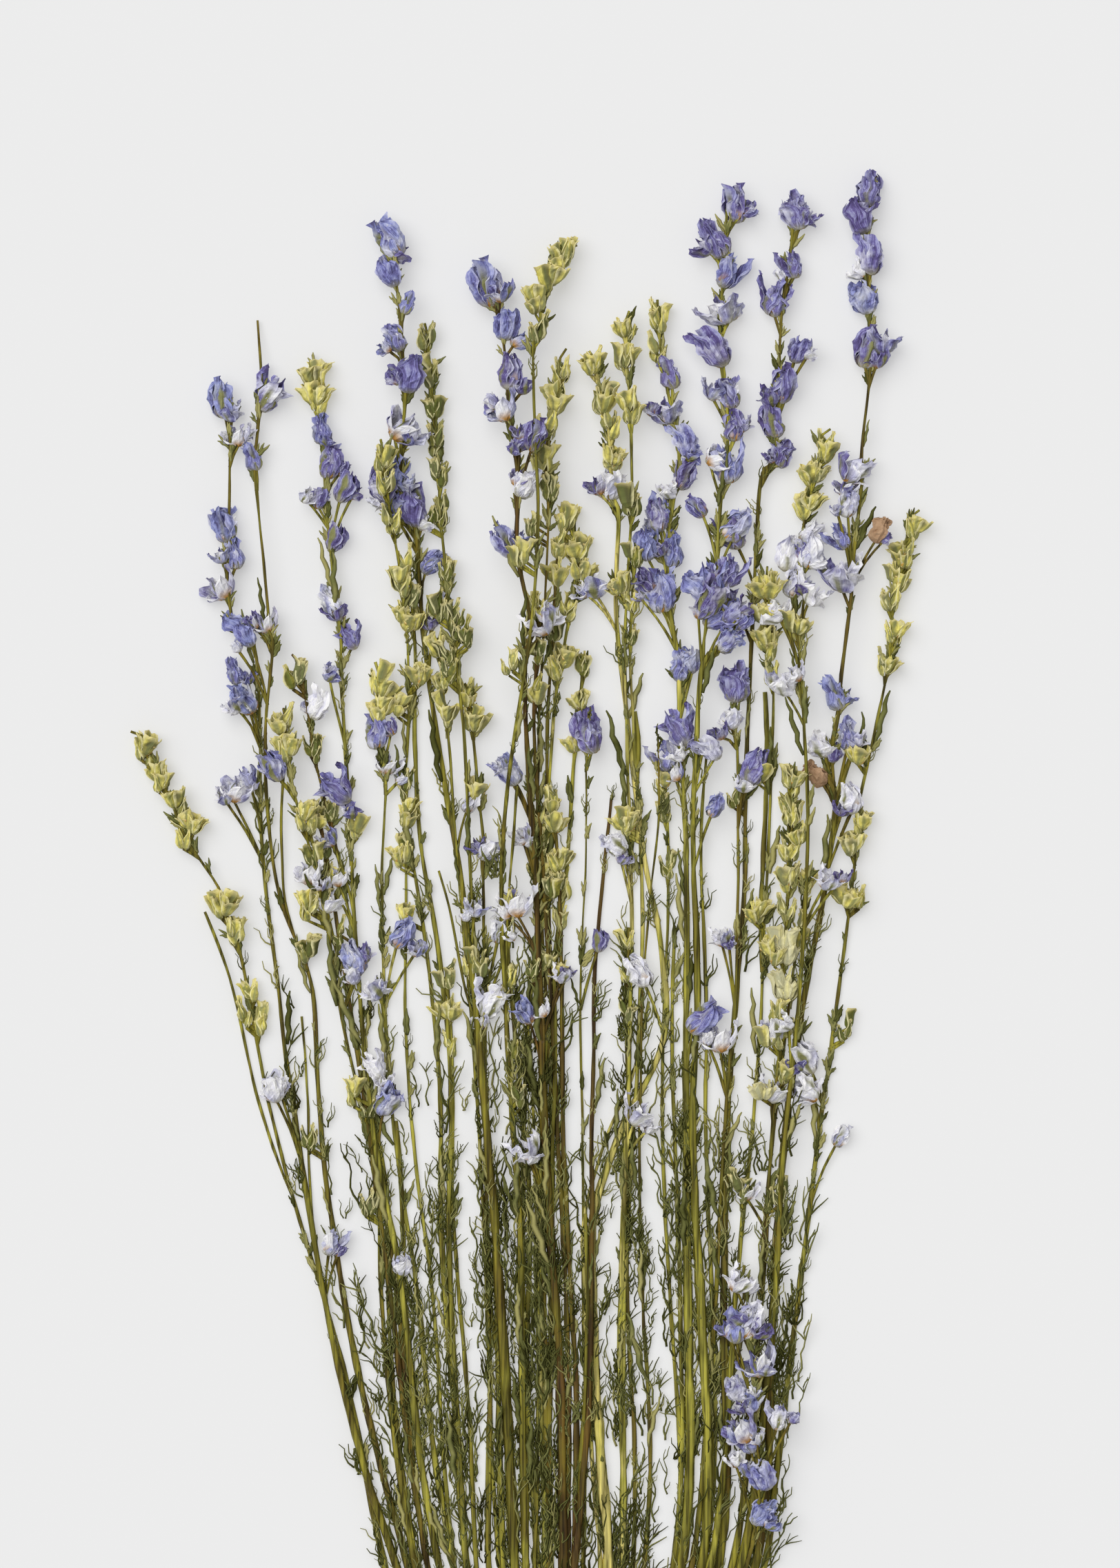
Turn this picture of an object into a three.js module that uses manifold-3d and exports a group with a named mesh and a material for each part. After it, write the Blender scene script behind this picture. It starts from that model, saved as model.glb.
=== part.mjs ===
// A bunch of dried larkspur lying on a flat surface: cut stalks fanned out flat, with
// flower spikes at their tips, gathered at the foot by a wound twine tie.
// Millimetres, +Z up. The stalks run along Y, cut ends towards -Y, tips towards +Y.
import * as THREE from "three";
import Module from "manifold-3d";

// Driving dimensions
const bunchLength = 684; // cut ends to the tallest tip
const fanWidth = 274; // between the outermost tips, measured on the stalks' centre lines
const stemDiameter = 2.9; // an ordinary stem at its cut end
const tipTaper = 0.4; // stem diameter at the tip, as a share of its cut end
const floretWidth = 14; // a full floret, as dried
const floretLength = 15; // a full floret along its stalk
const neckWidth = 3.2; // a spike's axis with its bracts, between two florets
const pressedFlat = 0.8; // height over width of a dried stem or floret
const bendLimit = 0.0022; // sharpest upward bend a dry stem takes, 1/mm
const tieHeight = 46; // middle of the tie above the lowest cut end
const bundleWidth = 23; // stems side by side within the tie
const bundleLayers = 4; // stems on top of each other within the tie
const footFlare = 1.3; // spread of the cut ends over the spread within the tie
const cutStep = 2.5; // the cut ends differ in length by multiples of this
const twineDiameter = 1.9;
const twineTurns = 4;
const knotWidth = 6.5;
const knotTail = 16;
const gap = 0.3; // between pieces that touch

// Fineness of the solids
const sides = 6;
const stemStep = 30;
const layStep = 2;
const hullSteps = 12;

const colours = {
  stem: 0x827c42,
  brownStem: 0x7a6038,
  blue: 0x7c7db6,
  violet: 0x6a639e,
  bud: 0xb3ab5c,
  green: 0x83803f,
  twine: 0xa98d5f,
};

// One entry per stalk. route is its centre line in plan as [x, y], tip first, down to
// where the stems start to gather. blooms are the florets and bud clusters of its spike
// as [x, y, size], size as a share of a full floret. A stalk with no blooms is a bare stem.
const stalks = [
  {
    name: "01", girth: 0.9, tone: "bud",
    route: [
      [-149, 491], [-136, 466], [-118, 437], [-111, 413], [-102, 365], [-96, 338], [-88, 313],
      [-72, 257], [-62, 205],
    ],
    blooms: [
      [-147, 486, 0.7], [-140, 477, 0.7], [-132, 467, 0.7], [-132, 457, 0.55], [-118, 434, 0.65],
      [-113, 424, 0.6],
    ],
  },
  {
    name: "02", girth: 0.95, tone: "blue",
    route: [
      [-117, 612], [-115, 590], [-111, 550], [-106, 520], [-104, 480], [-104, 455], [-98, 400],
      [-89, 335], [-79, 280], [-68, 235], [-58, 205],
    ],
    blooms: [
      [-117, 606, 1], [-113, 594, 0.65], [-117, 562, 0.85], [-113, 552, 0.7], [-119, 541, 0.8],
      [-112, 528, 0.65],
    ],
  },
  {
    name: "03", girth: 0.9, tone: "blue",
    route: [
      [-105, 634], [-106, 590], [-102, 555], [-99, 528], [-102, 500], [-99, 440], [-86, 400],
      [-84, 360], [-77, 305], [-66, 250], [-54, 205],
    ],
    blooms: [[-101, 607, 0.85], [-107, 586, 0.7], [-103, 529, 0.65]],
  },
  {
    name: "04", girth: 1, tone: "blue",
    route: [
      [-86, 622], [-84, 600], [-82, 572], [-77, 527], [-74, 470], [-70, 405], [-65, 352],
      [-56, 305], [-50, 250], [-43, 205],
    ],
    blooms: [
      [-86, 617, 0.65], [-85, 607, 0.65], [-83, 596, 0.8], [-80, 584, 0.8], [-84, 573, 0.7],
      [-78, 558, 0.7], [-80, 536, 0.8], [-73, 523, 0.55],
    ],
  },
  {
    name: "05", girth: 1.4, tone: "blue",
    route: [
      [-57, 667], [-54, 640], [-52, 605], [-50, 560], [-48, 530], [-42, 485], [-33, 430],
      [-27, 370], [-21, 300], [-18, 250], [-16, 205],
    ],
    blooms: [
      [-59, 661, 1], [-59, 650, 0.8], [-53, 639, 0.5], [-57, 627, 0.7], [-52, 614, 0.95],
      [-54, 597, 1], [-57, 580, 0.85], [-55, 569, 0.7],
    ],
  },
  {
    name: "06", girth: 0.85, tone: "green",
    route: [
      [-47, 633], [-43, 590], [-40, 545], [-34, 500], [-31, 440], [-28, 400], [-25, 350],
      [-22, 300], [-21, 250], [-20, 205],
    ],
    blooms: [
      [-47, 629, 0.55], [-45, 618, 0.65], [-44, 606, 0.65], [-43, 594, 0.6], [-42, 582, 0.65],
      [-42, 570, 0.65], [-40, 547, 0.6], [-38, 533, 0.55],
    ],
  },
  {
    name: "07", girth: 0.9, tone: "bud",
    route: [
      [-62, 592], [-60, 572], [-55, 543], [-52, 508], [-54, 465], [-47, 420], [-42, 370],
      [-41, 310], [-36, 250], [-33, 205],
    ],
    blooms: [[-62, 588, 0.55], [-61, 578, 0.65], [-58, 566, 0.6], [-55, 545, 0.65], [-54, 533, 0.55]],
  },
  {
    name: "08", girth: 0.9, tone: "bud",
    route: [
      [-64, 515], [-60, 490], [-62, 450], [-61, 400], [-57, 345], [-50, 300], [-45, 250],
      [-38, 205],
    ],
    blooms: [[-63, 510, 0.8], [-62, 500, 0.65], [-64, 490, 0.8], [-60, 480, 0.6]],
  },
  {
    name: "09", girth: 0.85, tone: "blue",
    route: [
      [-93, 518], [-87, 487], [-78, 452], [-73, 425], [-67, 375], [-60, 320], [-54, 270],
      [-47, 205],
    ],
    blooms: [[-94, 512, 0.85], [-84, 500, 0.8], [-86, 487, 0.5], [-80, 465, 0.55]],
  },
  {
    name: "10", girth: 0.9, tone: "bud",
    route: [
      [-96, 499], [-88, 464], [-81, 425], [-74, 380], [-64, 338], [-62, 290], [-58, 250],
      [-51, 205],
    ],
    blooms: [
      [-96, 495, 0.65], [-94, 485, 0.65], [-99, 478, 0.7], [-89, 464, 0.6], [-88, 442, 0.7],
      [-80, 432, 0.6],
    ],
  },
  {
    name: "11", girth: 1.35, tone: "blue",
    route: [
      [-25, 650], [-20, 630], [-18, 595], [-13, 550], [-12, 500], [-8, 430], [-6, 370], [-3, 310],
      [0, 270], [1, 205],
    ],
    blooms: [
      [-25, 645, 1.15], [-19, 632, 0.85], [-17, 615, 0.95], [-21, 603, 0.85], [-12, 592, 0.7],
      [-12, 576, 0.7], [-18, 556, 0.85], [-8, 529, 0.95],
    ],
  },
  {
    name: "12", girth: 1, tone: "bud",
    route: [
      [6, 660], [-6, 647], [-9, 630], [-8, 580], [-8, 545], [-14, 500], [-20, 450], [-18, 380],
      [-14, 320], [-13, 260], [-12, 205],
    ],
    blooms: [[3, 657, 0.65], [-3, 650, 0.65], [-9, 643, 0.65], [-7, 632, 0.6]],
  },
  {
    name: "13", girth: 0.8, tone: "bud",
    route: [
      [2, 624], [-4, 598], [-4, 570], [-5, 540], [-7, 500], [-8, 440], [-7, 380], [-6, 320],
      [-5, 260], [-4, 205],
    ],
    blooms: [[1, 619, 0.75], [-1, 609, 0.75], [-4, 598, 0.85], [-7, 587, 0.7], [-3, 577, 0.55]],
  },
  {
    name: "14", girth: 1, tone: "bud",
    route: [
      [2, 571], [8, 556], [4, 533], [-2, 500], [-5, 450], [-11, 390], [-13, 320], [-12, 270],
      [-8, 205],
    ],
    blooms: [[1, 565, 0.9], [7, 556, 0.7], [8, 547, 0.65], [2, 537, 0.8], [0, 516, 0.85]],
  },
  {
    name: "15", girth: 1.4, tone: "bud",
    route: [
      [10, 623], [16, 606], [21, 585], [19, 545], [22, 508], [31, 435], [38, 392], [25, 360],
      [13, 332], [12, 280], [14, 240], [17, 205],
    ],
    blooms: [[10, 619, 0.6], [14, 609, 0.65], [18, 599, 0.65], [18, 589, 0.7], [17, 577, 0.95]],
  },
  {
    name: "16", girth: 0.9, tone: "bud",
    route: [
      [24, 637], [25, 607], [25, 570], [23, 540], [23, 500], [25, 430], [24, 375], [22, 320],
      [21, 265], [22, 205],
    ],
    blooms: [[23, 633, 0.75], [22, 622, 0.8], [24, 605, 0.65], [25, 572, 0.75]],
  },
  {
    name: "17", girth: 1.4, tone: "violet",
    route: [
      [34, 641], [38, 610], [40, 572], [41, 530], [42, 490], [44, 440], [44, 380], [44, 320],
      [45, 260], [43, 205],
    ],
    blooms: [
      [34, 637, 0.65], [33, 625, 0.65], [38, 615, 0.8], [37, 603, 0.85], [44, 591, 0.8],
      [43, 580, 0.8], [36, 567, 0.85], [39, 553, 0.8], [35, 538, 0.95], [42, 513, 0.75],
      [41, 491, 0.95],
    ],
  },
  {
    name: "18", girth: 0.7, tone: "stem",
    route: [[34, 490], [34, 460], [30, 420], [28, 370], [28, 310], [31, 250], [30, 205]],
    blooms: [],
  },
  {
    name: "19", girth: 1.25, tone: "blue",
    route: [
      [60, 677], [53, 660], [52, 610], [52, 570], [50, 520], [46, 465], [48, 400], [46, 350],
      [49, 290], [50, 205],
    ],
    blooms: [
      [61, 673, 0.85], [54, 661, 1], [58, 650, 0.8], [56, 638, 0.95], [54, 623, 1],
      [58, 608, 0.85], [60, 597, 0.8], [58, 583, 0.95], [60, 562, 0.85], [52, 542, 1],
      [60, 532, 0.7], [58, 522, 0.6],
    ],
  },
  {
    name: "20", girth: 0.85, tone: "blue",
    route: [[61, 512], [62, 460], [61, 400], [57, 350], [54, 290], [50, 240], [47, 205]],
    blooms: [[61, 507, 0.95], [59, 496, 0.65]],
  },
  {
    name: "21", girth: 1.1, tone: "violet",
    route: [
      [81, 676], [80, 650], [74, 615], [70, 580], [67, 530], [65, 480], [64, 430], [60, 385],
      [58, 345], [57, 280], [56, 205],
    ],
    blooms: [
      [82, 671, 0.95], [81, 653, 0.7], [75, 641, 1], [77, 611, 1], [74, 598, 0.8], [77, 587, 0.65],
    ],
  },
  {
    name: "22", girth: 0.9, tone: "bud",
    route: [[72, 548], [74, 512], [74, 480], [71, 420], [68, 362], [62, 305], [58, 250], [53, 205]],
    blooms: [[72, 544, 0.6], [71, 534, 0.5], [72, 523, 0.6], [73, 514, 0.55]],
  },
  {
    name: "23", girth: 1, tone: "bud",
    route: [
      [94, 596], [87, 575], [82, 545], [84, 505], [86, 460], [83, 395], [78, 350], [75, 300],
      [70, 250], [64, 205],
    ],
    blooms: [
      [93, 592, 0.65], [88, 581, 0.65], [86, 572, 0.65], [87, 560, 0.65], [79, 552, 0.85],
      [81, 542, 0.7], [82, 530, 0.65],
    ],
  },
  {
    name: "24", girth: 1.2, tone: "blue",
    route: [
      [110, 684], [110, 655], [108, 615], [106, 570], [103, 532], [98, 485], [92, 435], [84, 392],
      [77, 335], [73, 265], [69, 205],
    ],
    blooms: [
      [108, 679, 0.95], [104, 669, 0.85], [108, 655, 0.85], [106, 641, 0.8], [107, 623, 0.95],
      [103, 582, 0.95], [99, 546, 1.15], [95, 504, 0.95], [89, 476, 0.7],
    ],
  },
  {
    name: "25", girth: 0.9, tone: "bud",
    route: [
      [125, 568], [115, 545], [112, 515], [109, 480], [104, 455], [97, 400], [90, 350], [83, 295],
      [76, 240], [72, 205],
    ],
    blooms: [
      [124, 564, 0.55], [121, 555, 0.6], [117, 547, 0.55], [114, 538, 0.6], [117, 527, 0.65],
      [113, 518, 0.6], [105, 462, 0.6], [101, 454, 0.65],
    ],
  },
  {
    name: "26", girth: 1, tone: "bud",
    route: [[80, 479], [80, 440], [78, 405], [75, 372], [73, 335], [70, 290], [66, 245], [61, 205]],
    blooms: [
      [80, 474, 0.7], [80, 464, 0.75], [80, 453, 0.7], [80, 442, 0.75], [79, 431, 0.75],
      [78, 417, 0.75], [78, 405, 0.75], [78, 388, 0.65], [75, 366, 0.65],
    ],
  },
  {
    name: "27", girth: 0.8, tone: "blue",
    route: [[64, 306], [66, 280], [69, 255], [69, 230], [66, 205]],
    blooms: [
      [62, 301, 0.7], [65, 286, 0.95], [68, 272, 0.85], [67, 259, 0.7], [66, 246, 0.85],
      [70, 233, 0.85], [70, 220, 0.75],
    ],
  },
  {
    name: "28", girth: 0.65, tone: "violet",
    route: [[10, 497], [9, 470], [9, 440], [7, 400], [8, 350], [8, 300], [9, 250], [8, 205]],
    blooms: [[10, 490, 1.15]],
  },
  {
    name: "29", girth: 0.9, tone: "green",
    route: [
      [-33, 508], [-28, 490], [-27, 460], [-26, 400], [-26, 350], [-25, 300], [-24, 250],
      [-25, 205],
    ],
    blooms: [[-33, 505, 0.5], [-30, 496, 0.5], [-31, 473, 0.55], [-25, 451, 0.8]],
  },
  {
    name: "30", girth: 1.2, tone: "brownStem",
    route: [[18, 468], [16, 445], [13, 425], [12, 390], [11, 340], [11, 290], [9, 240], [5, 205]],
    blooms: [],
  },
];

// The routes are stretched to the bunch's length and width.
const routeXs = stalks.flatMap((stalk) => stalk.route.map((point) => point[0]));
const routeYs = stalks.flatMap((stalk) => stalk.route.map((point) => point[1]));
const stretchX = fanWidth / (Math.max(...routeXs) - Math.min(...routeXs));
const stretchY = bunchLength / Math.max(...routeYs);

function lerp(a, b, share) {
  return a + (b - a) * share;
}

// Value of a piecewise straight chain at y. Chains list their stations with y rising.
function along(chain, key, y) {
  let k = 1;
  while (k < chain.length - 1 && chain[k].y < y) k += 1;
  const low = chain[k - 1];
  const high = chain[k];
  return lerp(low[key], high[key], (y - low.y) / (high.y - low.y));
}

// Stems keep their order from left to right where they gather, and take turns over the
// layers, so each layer's stems lie side by side.
function gather() {
  const order = [...stalks].sort((a, b) => a.route.at(-1)[0] - b.route.at(-1)[0]);
  order.forEach((stalk, rank) => {
    stalk.layer = rank % bundleLayers;
    stalk.tieX = (rank / (order.length - 1) - 0.5) * bundleWidth;
    stalk.cutY = ((rank * 3) % 5) * cutStep;
  });
  return order.sort((a, b) => a.layer - b.layer);
}

// Centre line in plan from the cut end to the tip, as a function of y.
function planLine(stalk) {
  const points = stalk.route.map(([x, y]) => new THREE.Vector3(x * stretchX, y * stretchY, 0));
  const tieReach = twineDiameter * twineTurns;
  points.push(new THREE.Vector3(stalk.tieX, tieHeight + tieReach, 0));
  points.push(new THREE.Vector3(stalk.tieX, tieHeight - tieReach, 0));
  points.push(new THREE.Vector3(stalk.tieX * footFlare, stalk.cutY, 0));
  const curve = new THREE.CatmullRomCurve3(points.reverse(), false, "centripetal");
  return curve.getPoints(points.length * 12).map((point) => ({ x: point.x, y: point.y }));
}

// Stations of the bare stem: half widths at heights along the stalk, closest at the tie.
function stemStations(stalk, line, topY) {
  const tipY = line.at(-1).y;
  const tieHalf = (twineDiameter * twineTurns) / 2 + gap;
  const heights = [stalk.cutY, tieHeight - tieHalf, tieHeight + tieHalf];
  const rows = Math.max(2, Math.round((topY - heights[2]) / stemStep));
  for (let row = 1; row <= rows; row += 1) heights.push(lerp(heights[2], topY, row / rows));
  return heights.map((y) => {
    const taper = lerp(1, tipTaper, (y - stalk.cutY) / (tipY - stalk.cutY));
    return { x: along(line, "x", y), y, half: (stalk.girth * stemDiameter * taper) / 2 };
  });
}

// Stations of the spike: a bulge for each bloom, drawn in to the axis between them.
function spikeStations(stalk, line, footY, stemHalf) {
  const tipY = line.at(-1).y;
  const neck = neckWidth / 2;
  const blooms = stalk.blooms
    .map(([x, y, size]) => ({ x: x * stretchX, y: y * stretchY, size }))
    .reverse();
  const stations = [{ x: along(line, "x", footY), y: footY, half: stemHalf }];
  blooms.forEach((bloom, index) => {
    const half = (bloom.size * floretWidth) / 2;
    const reach = (bloom.size * floretLength) / 2;
    const next = blooms[index + 1];
    const room = next ? (next.y - bloom.y) / 2 : tipY - bloom.y;
    const shoulder = Math.min(reach * 0.5, room * 0.6);
    stations.push({ x: bloom.x, y: bloom.y - shoulder, half });
    stations.push({ x: bloom.x, y: bloom.y + shoulder, half });
    if (!next) {
      const shootY = bloom.y + reach;
      if (room > reach) stations.push({ x: along(line, "x", shootY), y: shootY, half: neck });
      return;
    }
    const nextReach = (next.size * floretLength) / 2;
    const bare = next.y - nextReach - (bloom.y + reach);
    const middle = (bloom.y + next.y) / 2;
    if (bare > neckWidth) {
      const lowY = bloom.y + reach;
      const highY = next.y - nextReach;
      stations.push({ x: along(line, "x", lowY), y: lowY, half: neck });
      stations.push({ x: along(line, "x", highY), y: highY, half: neck });
    } else {
      stations.push({ x: (bloom.x + next.x) / 2, y: middle, half: Math.max(neck, half * 0.55) });
    }
  });
  stations.push({ x: line.at(-1).x, y: tipY, half: neck * 0.6 });
  return stations;
}

// Length of stalk below its lowest bloom that belongs to the spike.
function spikeFoot(stalk) {
  const [, y, size] = stalk.blooms.at(-1);
  return y * stretchY - (size * floretLength) / 2 - neckWidth;
}

function measure(stalk) {
  const line = planLine(stalk);
  if (!stalk.blooms.length) {
    stalk.stem = stemStations(stalk, line, line.at(-1).y);
    stalk.spike = [];
    return;
  }
  const footY = spikeFoot(stalk);
  stalk.stem = stemStations(stalk, line, footY);
  stalk.spike = spikeStations(stalk, line, footY + gap, stalk.stem.at(-1).half);
}

// Least height of the centre at y that clears the floor and every stalk laid before.
function clearHeight(x, y, half, laid, floor) {
  let height = floor + pressedFlat * half;
  for (const chain of laid) {
    if (y < chain[0].y - gap || y > chain.at(-1).y + gap) continue;
    const reach = half + along(chain, "half", y) + gap;
    const aside = Math.abs(x - along(chain, "x", y));
    if (aside >= reach) continue;
    const over = pressedFlat * Math.sqrt(reach * reach - aside * aside);
    height = Math.max(height, along(chain, "z", y) + over);
  }
  return height;
}

// The floor under the stems, raised to the twine's thickness where the tie passes below.
function floorAt(y) {
  const tieHalf = (twineDiameter * twineTurns) / 2 + 3 * gap;
  return Math.abs(y - tieHeight) < tieHalf ? twineDiameter + 2 * gap : 0;
}

// Lays a stalk over those already down: it rests where it touches and bends no sharper
// than a dry stem can in between.
function lay(stalk, laid) {
  const chain = [...stalk.stem, ...stalk.spike];
  const needed = chain.map(() => 0);
  for (let k = 0; k + 1 < chain.length; k += 1) {
    const low = chain[k];
    const high = chain[k + 1];
    const steps = Math.max(1, Math.ceil((high.y - low.y) / layStep));
    for (let step = 0; step <= steps; step += 1) {
      const share = step / steps;
      const y = lerp(low.y, high.y, share);
      const half = lerp(low.half, high.half, share);
      const height = clearHeight(lerp(low.x, high.x, share), y, half, laid, floorAt(y));
      needed[k] = Math.max(needed[k], height);
      needed[k + 1] = Math.max(needed[k + 1], height);
    }
  }
  const heights = [...needed];
  for (let round = 0; round < 400; round += 1) {
    for (let k = 1; k + 1 < chain.length; k += 1) {
      const before = chain[k].y - chain[k - 1].y;
      const after = chain[k + 1].y - chain[k].y;
      const straight = lerp(heights[k - 1], heights[k + 1], before / (before + after));
      heights[k] = Math.max(needed[k], straight - (bendLimit * before * after) / 2);
    }
  }
  chain.forEach((station, k) => {
    station.z = heights[k];
  });
  laid.push(chain);
}

// Closed tube through level-sided rings, one ring per station.
function tubeGeometry(stations) {
  const positions = [];
  const faces = [];
  stations.forEach(({ x, y, z, half }, row) => {
    for (let side = 0; side < sides; side += 1) {
      const angle = ((side + 0.5) / sides) * 2 * Math.PI;
      positions.push(x + half * Math.cos(angle), y, z + pressedFlat * half * Math.sin(angle));
      if (row === 0) continue;
      const here = row * sides + side;
      const beside = row * sides + ((side + 1) % sides);
      faces.push(here - sides, here, beside - sides, beside - sides, here, beside);
    }
  });
  const last = (stations.length - 1) * sides;
  for (let side = 1; side + 1 < sides; side += 1) {
    faces.push(0, side, side + 1, last, last + side + 1, last + side);
  }
  const geometry = new THREE.BufferGeometry();
  geometry.setAttribute("position", new THREE.Float32BufferAttribute(positions, 3));
  geometry.setIndex(faces);
  geometry.computeVertexNormals();
  return geometry;
}

function material(tone) {
  return new THREE.MeshStandardMaterial({ color: colours[tone], roughness: 0.85, metalness: 0 });
}

// Convex outline around points given as [x, z], anticlockwise.
function convexOutline(points) {
  const sorted = [...points].sort((a, b) => a[0] - b[0] || a[1] - b[1]);
  const turn = (o, a, b) => (a[0] - o[0]) * (b[1] - o[1]) - (a[1] - o[1]) * (b[0] - o[0]);
  const chainOf = (list) => {
    const chain = [];
    for (const point of list) {
      while (chain.length > 1 && turn(chain.at(-2), chain.at(-1), point) <= 0) chain.pop();
      chain.push(point);
    }
    chain.pop();
    return chain;
  };
  return [...chainOf(sorted), ...chainOf(sorted.reverse())];
}

// Taut line around the stems within the tie, at a distance outside them.
function aroundStems(distance) {
  const tieHalf = (twineDiameter * twineTurns) / 2 + gap;
  const points = [];
  for (const { stem } of stalks) {
    for (const y of [tieHeight - tieHalf, tieHeight + tieHalf]) {
      const reach = along(stem, "half", y) + distance;
      for (let step = 0; step < hullSteps; step += 1) {
        const angle = (step / hullSteps) * 2 * Math.PI;
        const lift = pressedFlat * (reach - distance) + distance;
        points.push([
          along(stem, "x", y) + reach * Math.cos(angle),
          along(stem, "z", y) + lift * Math.sin(angle),
        ]);
      }
    }
  }
  const outline = convexOutline(points);
  const spaced = (point, k) => {
    const before = outline.at(k - 1);
    return Math.hypot(point[0] - before[0], point[1] - before[1]) > distance;
  };
  return outline.filter(spaced);
}

// Outward unit normals at the corners of an anticlockwise outline.
function outwardNormals(outline) {
  return outline.map((point, k) => {
    const before = outline.at(k - 1);
    const after = outline[(k + 1) % outline.length];
    const dx = after[0] - before[0];
    const dz = after[1] - before[1];
    const length = Math.hypot(dx, dz);
    return [dz / length, -dx / length];
  });
}

// Twine wound side by side around the stems: a band with one ridge for each turn.
function windingGeometry() {
  const inner = aroundStems(gap);
  const normals = outwardNormals(inner);
  const startY = tieHeight - (twineDiameter * twineTurns) / 2;
  const profile = [[0, 0]];
  for (let turn = 0; turn < twineTurns; turn += 1) {
    profile.push([turn + 0.2, 0.85], [turn + 0.5, 1], [turn + 0.8, 0.85]);
  }
  profile.push([twineTurns, 0]);
  const positions = [];
  const faces = [];
  const total = profile.length * inner.length;
  inner.forEach(([x, z], step) => {
    profile.forEach(([turns, depth], k) => {
      const out = depth * twineDiameter;
      positions.push(
        x + out * normals[step][0],
        startY + turns * twineDiameter,
        z + out * normals[step][1],
      );
      const here = step * profile.length + k;
      const next = step * profile.length + ((k + 1) % profile.length);
      const hereOn = (here + profile.length) % total;
      const nextOn = (next + profile.length) % total;
      faces.push(here, next, hereOn, next, nextOn, hereOn);
    });
  });
  const geometry = new THREE.BufferGeometry();
  geometry.setAttribute("position", new THREE.Float32BufferAttribute(positions, 3));
  geometry.setIndex(faces);
  const peak = inner.reduce((best, point) => (point[1] > best[1] ? point : best));
  return { geometry, x: peak[0], top: peak[1] + twineDiameter };
}

const wasm = await Module();
wasm.setup();

function solidOf(geometry) {
  return new wasm.Manifold(
    new wasm.Mesh({
      numProp: 3,
      vertProperties: geometry.attributes.position.array,
      triVerts: new Uint32Array(geometry.index.array),
    }),
  );
}

function geometryOf(solid) {
  const mesh = solid.getMesh();
  const geometry = new THREE.BufferGeometry();
  geometry.setAttribute("position", new THREE.BufferAttribute(mesh.vertProperties, 3));
  geometry.setIndex(new THREE.BufferAttribute(mesh.triVerts, 1));
  geometry.computeVertexNormals();
  return geometry;
}

// The winding, its knot on top and the knot's two short ends are one length of twine.
function tieGeometry() {
  const winding = windingGeometry();
  const knotZ = winding.top + twineDiameter * 0.3;
  const tubeRound = (points, half) =>
    tubeGeometry(points.map(([x, y, z]) => ({ x, y, z, half })));
  const knot = tubeRound(
    [
      [winding.x, tieHeight - knotWidth / 2, knotZ],
      [winding.x, tieHeight - knotWidth / 4, knotZ],
      [winding.x, tieHeight + knotWidth / 4, knotZ],
      [winding.x, tieHeight + knotWidth / 2, knotZ],
    ],
    knotWidth / 3,
  );
  const tail = (side) =>
    tubeRound(
      [
        [winding.x, tieHeight, knotZ],
        [winding.x + side * knotTail * 0.35, tieHeight + knotTail * 0.5, knotZ + twineDiameter * 0.4],
        [winding.x + side * knotTail * 0.5, tieHeight + knotTail, knotZ + twineDiameter * 0.2],
      ],
      twineDiameter / 2,
    );
  const solid = [knot, tail(-1), tail(1)].reduce(
    (whole, piece) => whole.add(solidOf(piece)),
    solidOf(winding.geometry),
  );
  return geometryOf(solid);
}

const bunch = new THREE.Group();
bunch.name = "dried_larkspur_bunch";

function addPiece(name, geometry, tone) {
  const mesh = new THREE.Mesh(geometry, material(tone));
  mesh.name = name;
  bunch.add(mesh);
}

const laid = [];
for (const stalk of gather()) {
  measure(stalk);
  lay(stalk, laid);
}
for (const stalk of stalks) {
  const stemTone = stalk.tone === "brownStem" ? "brownStem" : "stem";
  addPiece(`stem_${stalk.name}`, tubeGeometry(stalk.stem), stemTone);
  if (stalk.blooms.length) addPiece(`spike_${stalk.name}`, tubeGeometry(stalk.spike), stalk.tone);
}
addPiece("twine_tie", tieGeometry(), "twine");

// The origin is at the middle of the bunch's box, on the surface it lies on.
const box = new THREE.Box3().setFromObject(bunch);
const middle = box.getCenter(new THREE.Vector3());
bunch.position.set(-middle.x, -middle.y, -box.min.z);

export default bunch;
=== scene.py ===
from math import cos, exp, hypot, pi, radians, sin
from random import Random

import bpy
import numpy as np
from mathutils import Matrix, Vector, noise


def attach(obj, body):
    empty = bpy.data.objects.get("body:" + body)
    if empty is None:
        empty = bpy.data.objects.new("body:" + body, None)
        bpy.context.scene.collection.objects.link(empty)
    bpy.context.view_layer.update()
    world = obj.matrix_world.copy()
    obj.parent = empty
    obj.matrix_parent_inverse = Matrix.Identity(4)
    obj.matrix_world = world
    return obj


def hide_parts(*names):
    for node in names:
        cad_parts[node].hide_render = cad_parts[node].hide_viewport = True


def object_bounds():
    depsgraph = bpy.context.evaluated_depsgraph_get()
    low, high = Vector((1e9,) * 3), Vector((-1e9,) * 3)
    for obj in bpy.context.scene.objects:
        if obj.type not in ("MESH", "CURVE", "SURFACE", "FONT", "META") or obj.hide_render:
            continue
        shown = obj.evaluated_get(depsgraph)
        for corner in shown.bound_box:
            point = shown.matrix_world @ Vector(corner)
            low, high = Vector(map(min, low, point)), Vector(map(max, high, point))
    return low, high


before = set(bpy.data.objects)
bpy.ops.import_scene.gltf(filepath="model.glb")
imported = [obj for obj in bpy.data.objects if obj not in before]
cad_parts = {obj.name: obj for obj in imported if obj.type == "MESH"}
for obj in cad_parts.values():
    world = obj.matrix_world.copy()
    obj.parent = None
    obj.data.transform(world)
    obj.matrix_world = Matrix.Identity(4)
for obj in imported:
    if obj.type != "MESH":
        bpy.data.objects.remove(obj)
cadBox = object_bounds()
noise.seed_set(7)  # without a seed noise_vector differs from run to run

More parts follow.
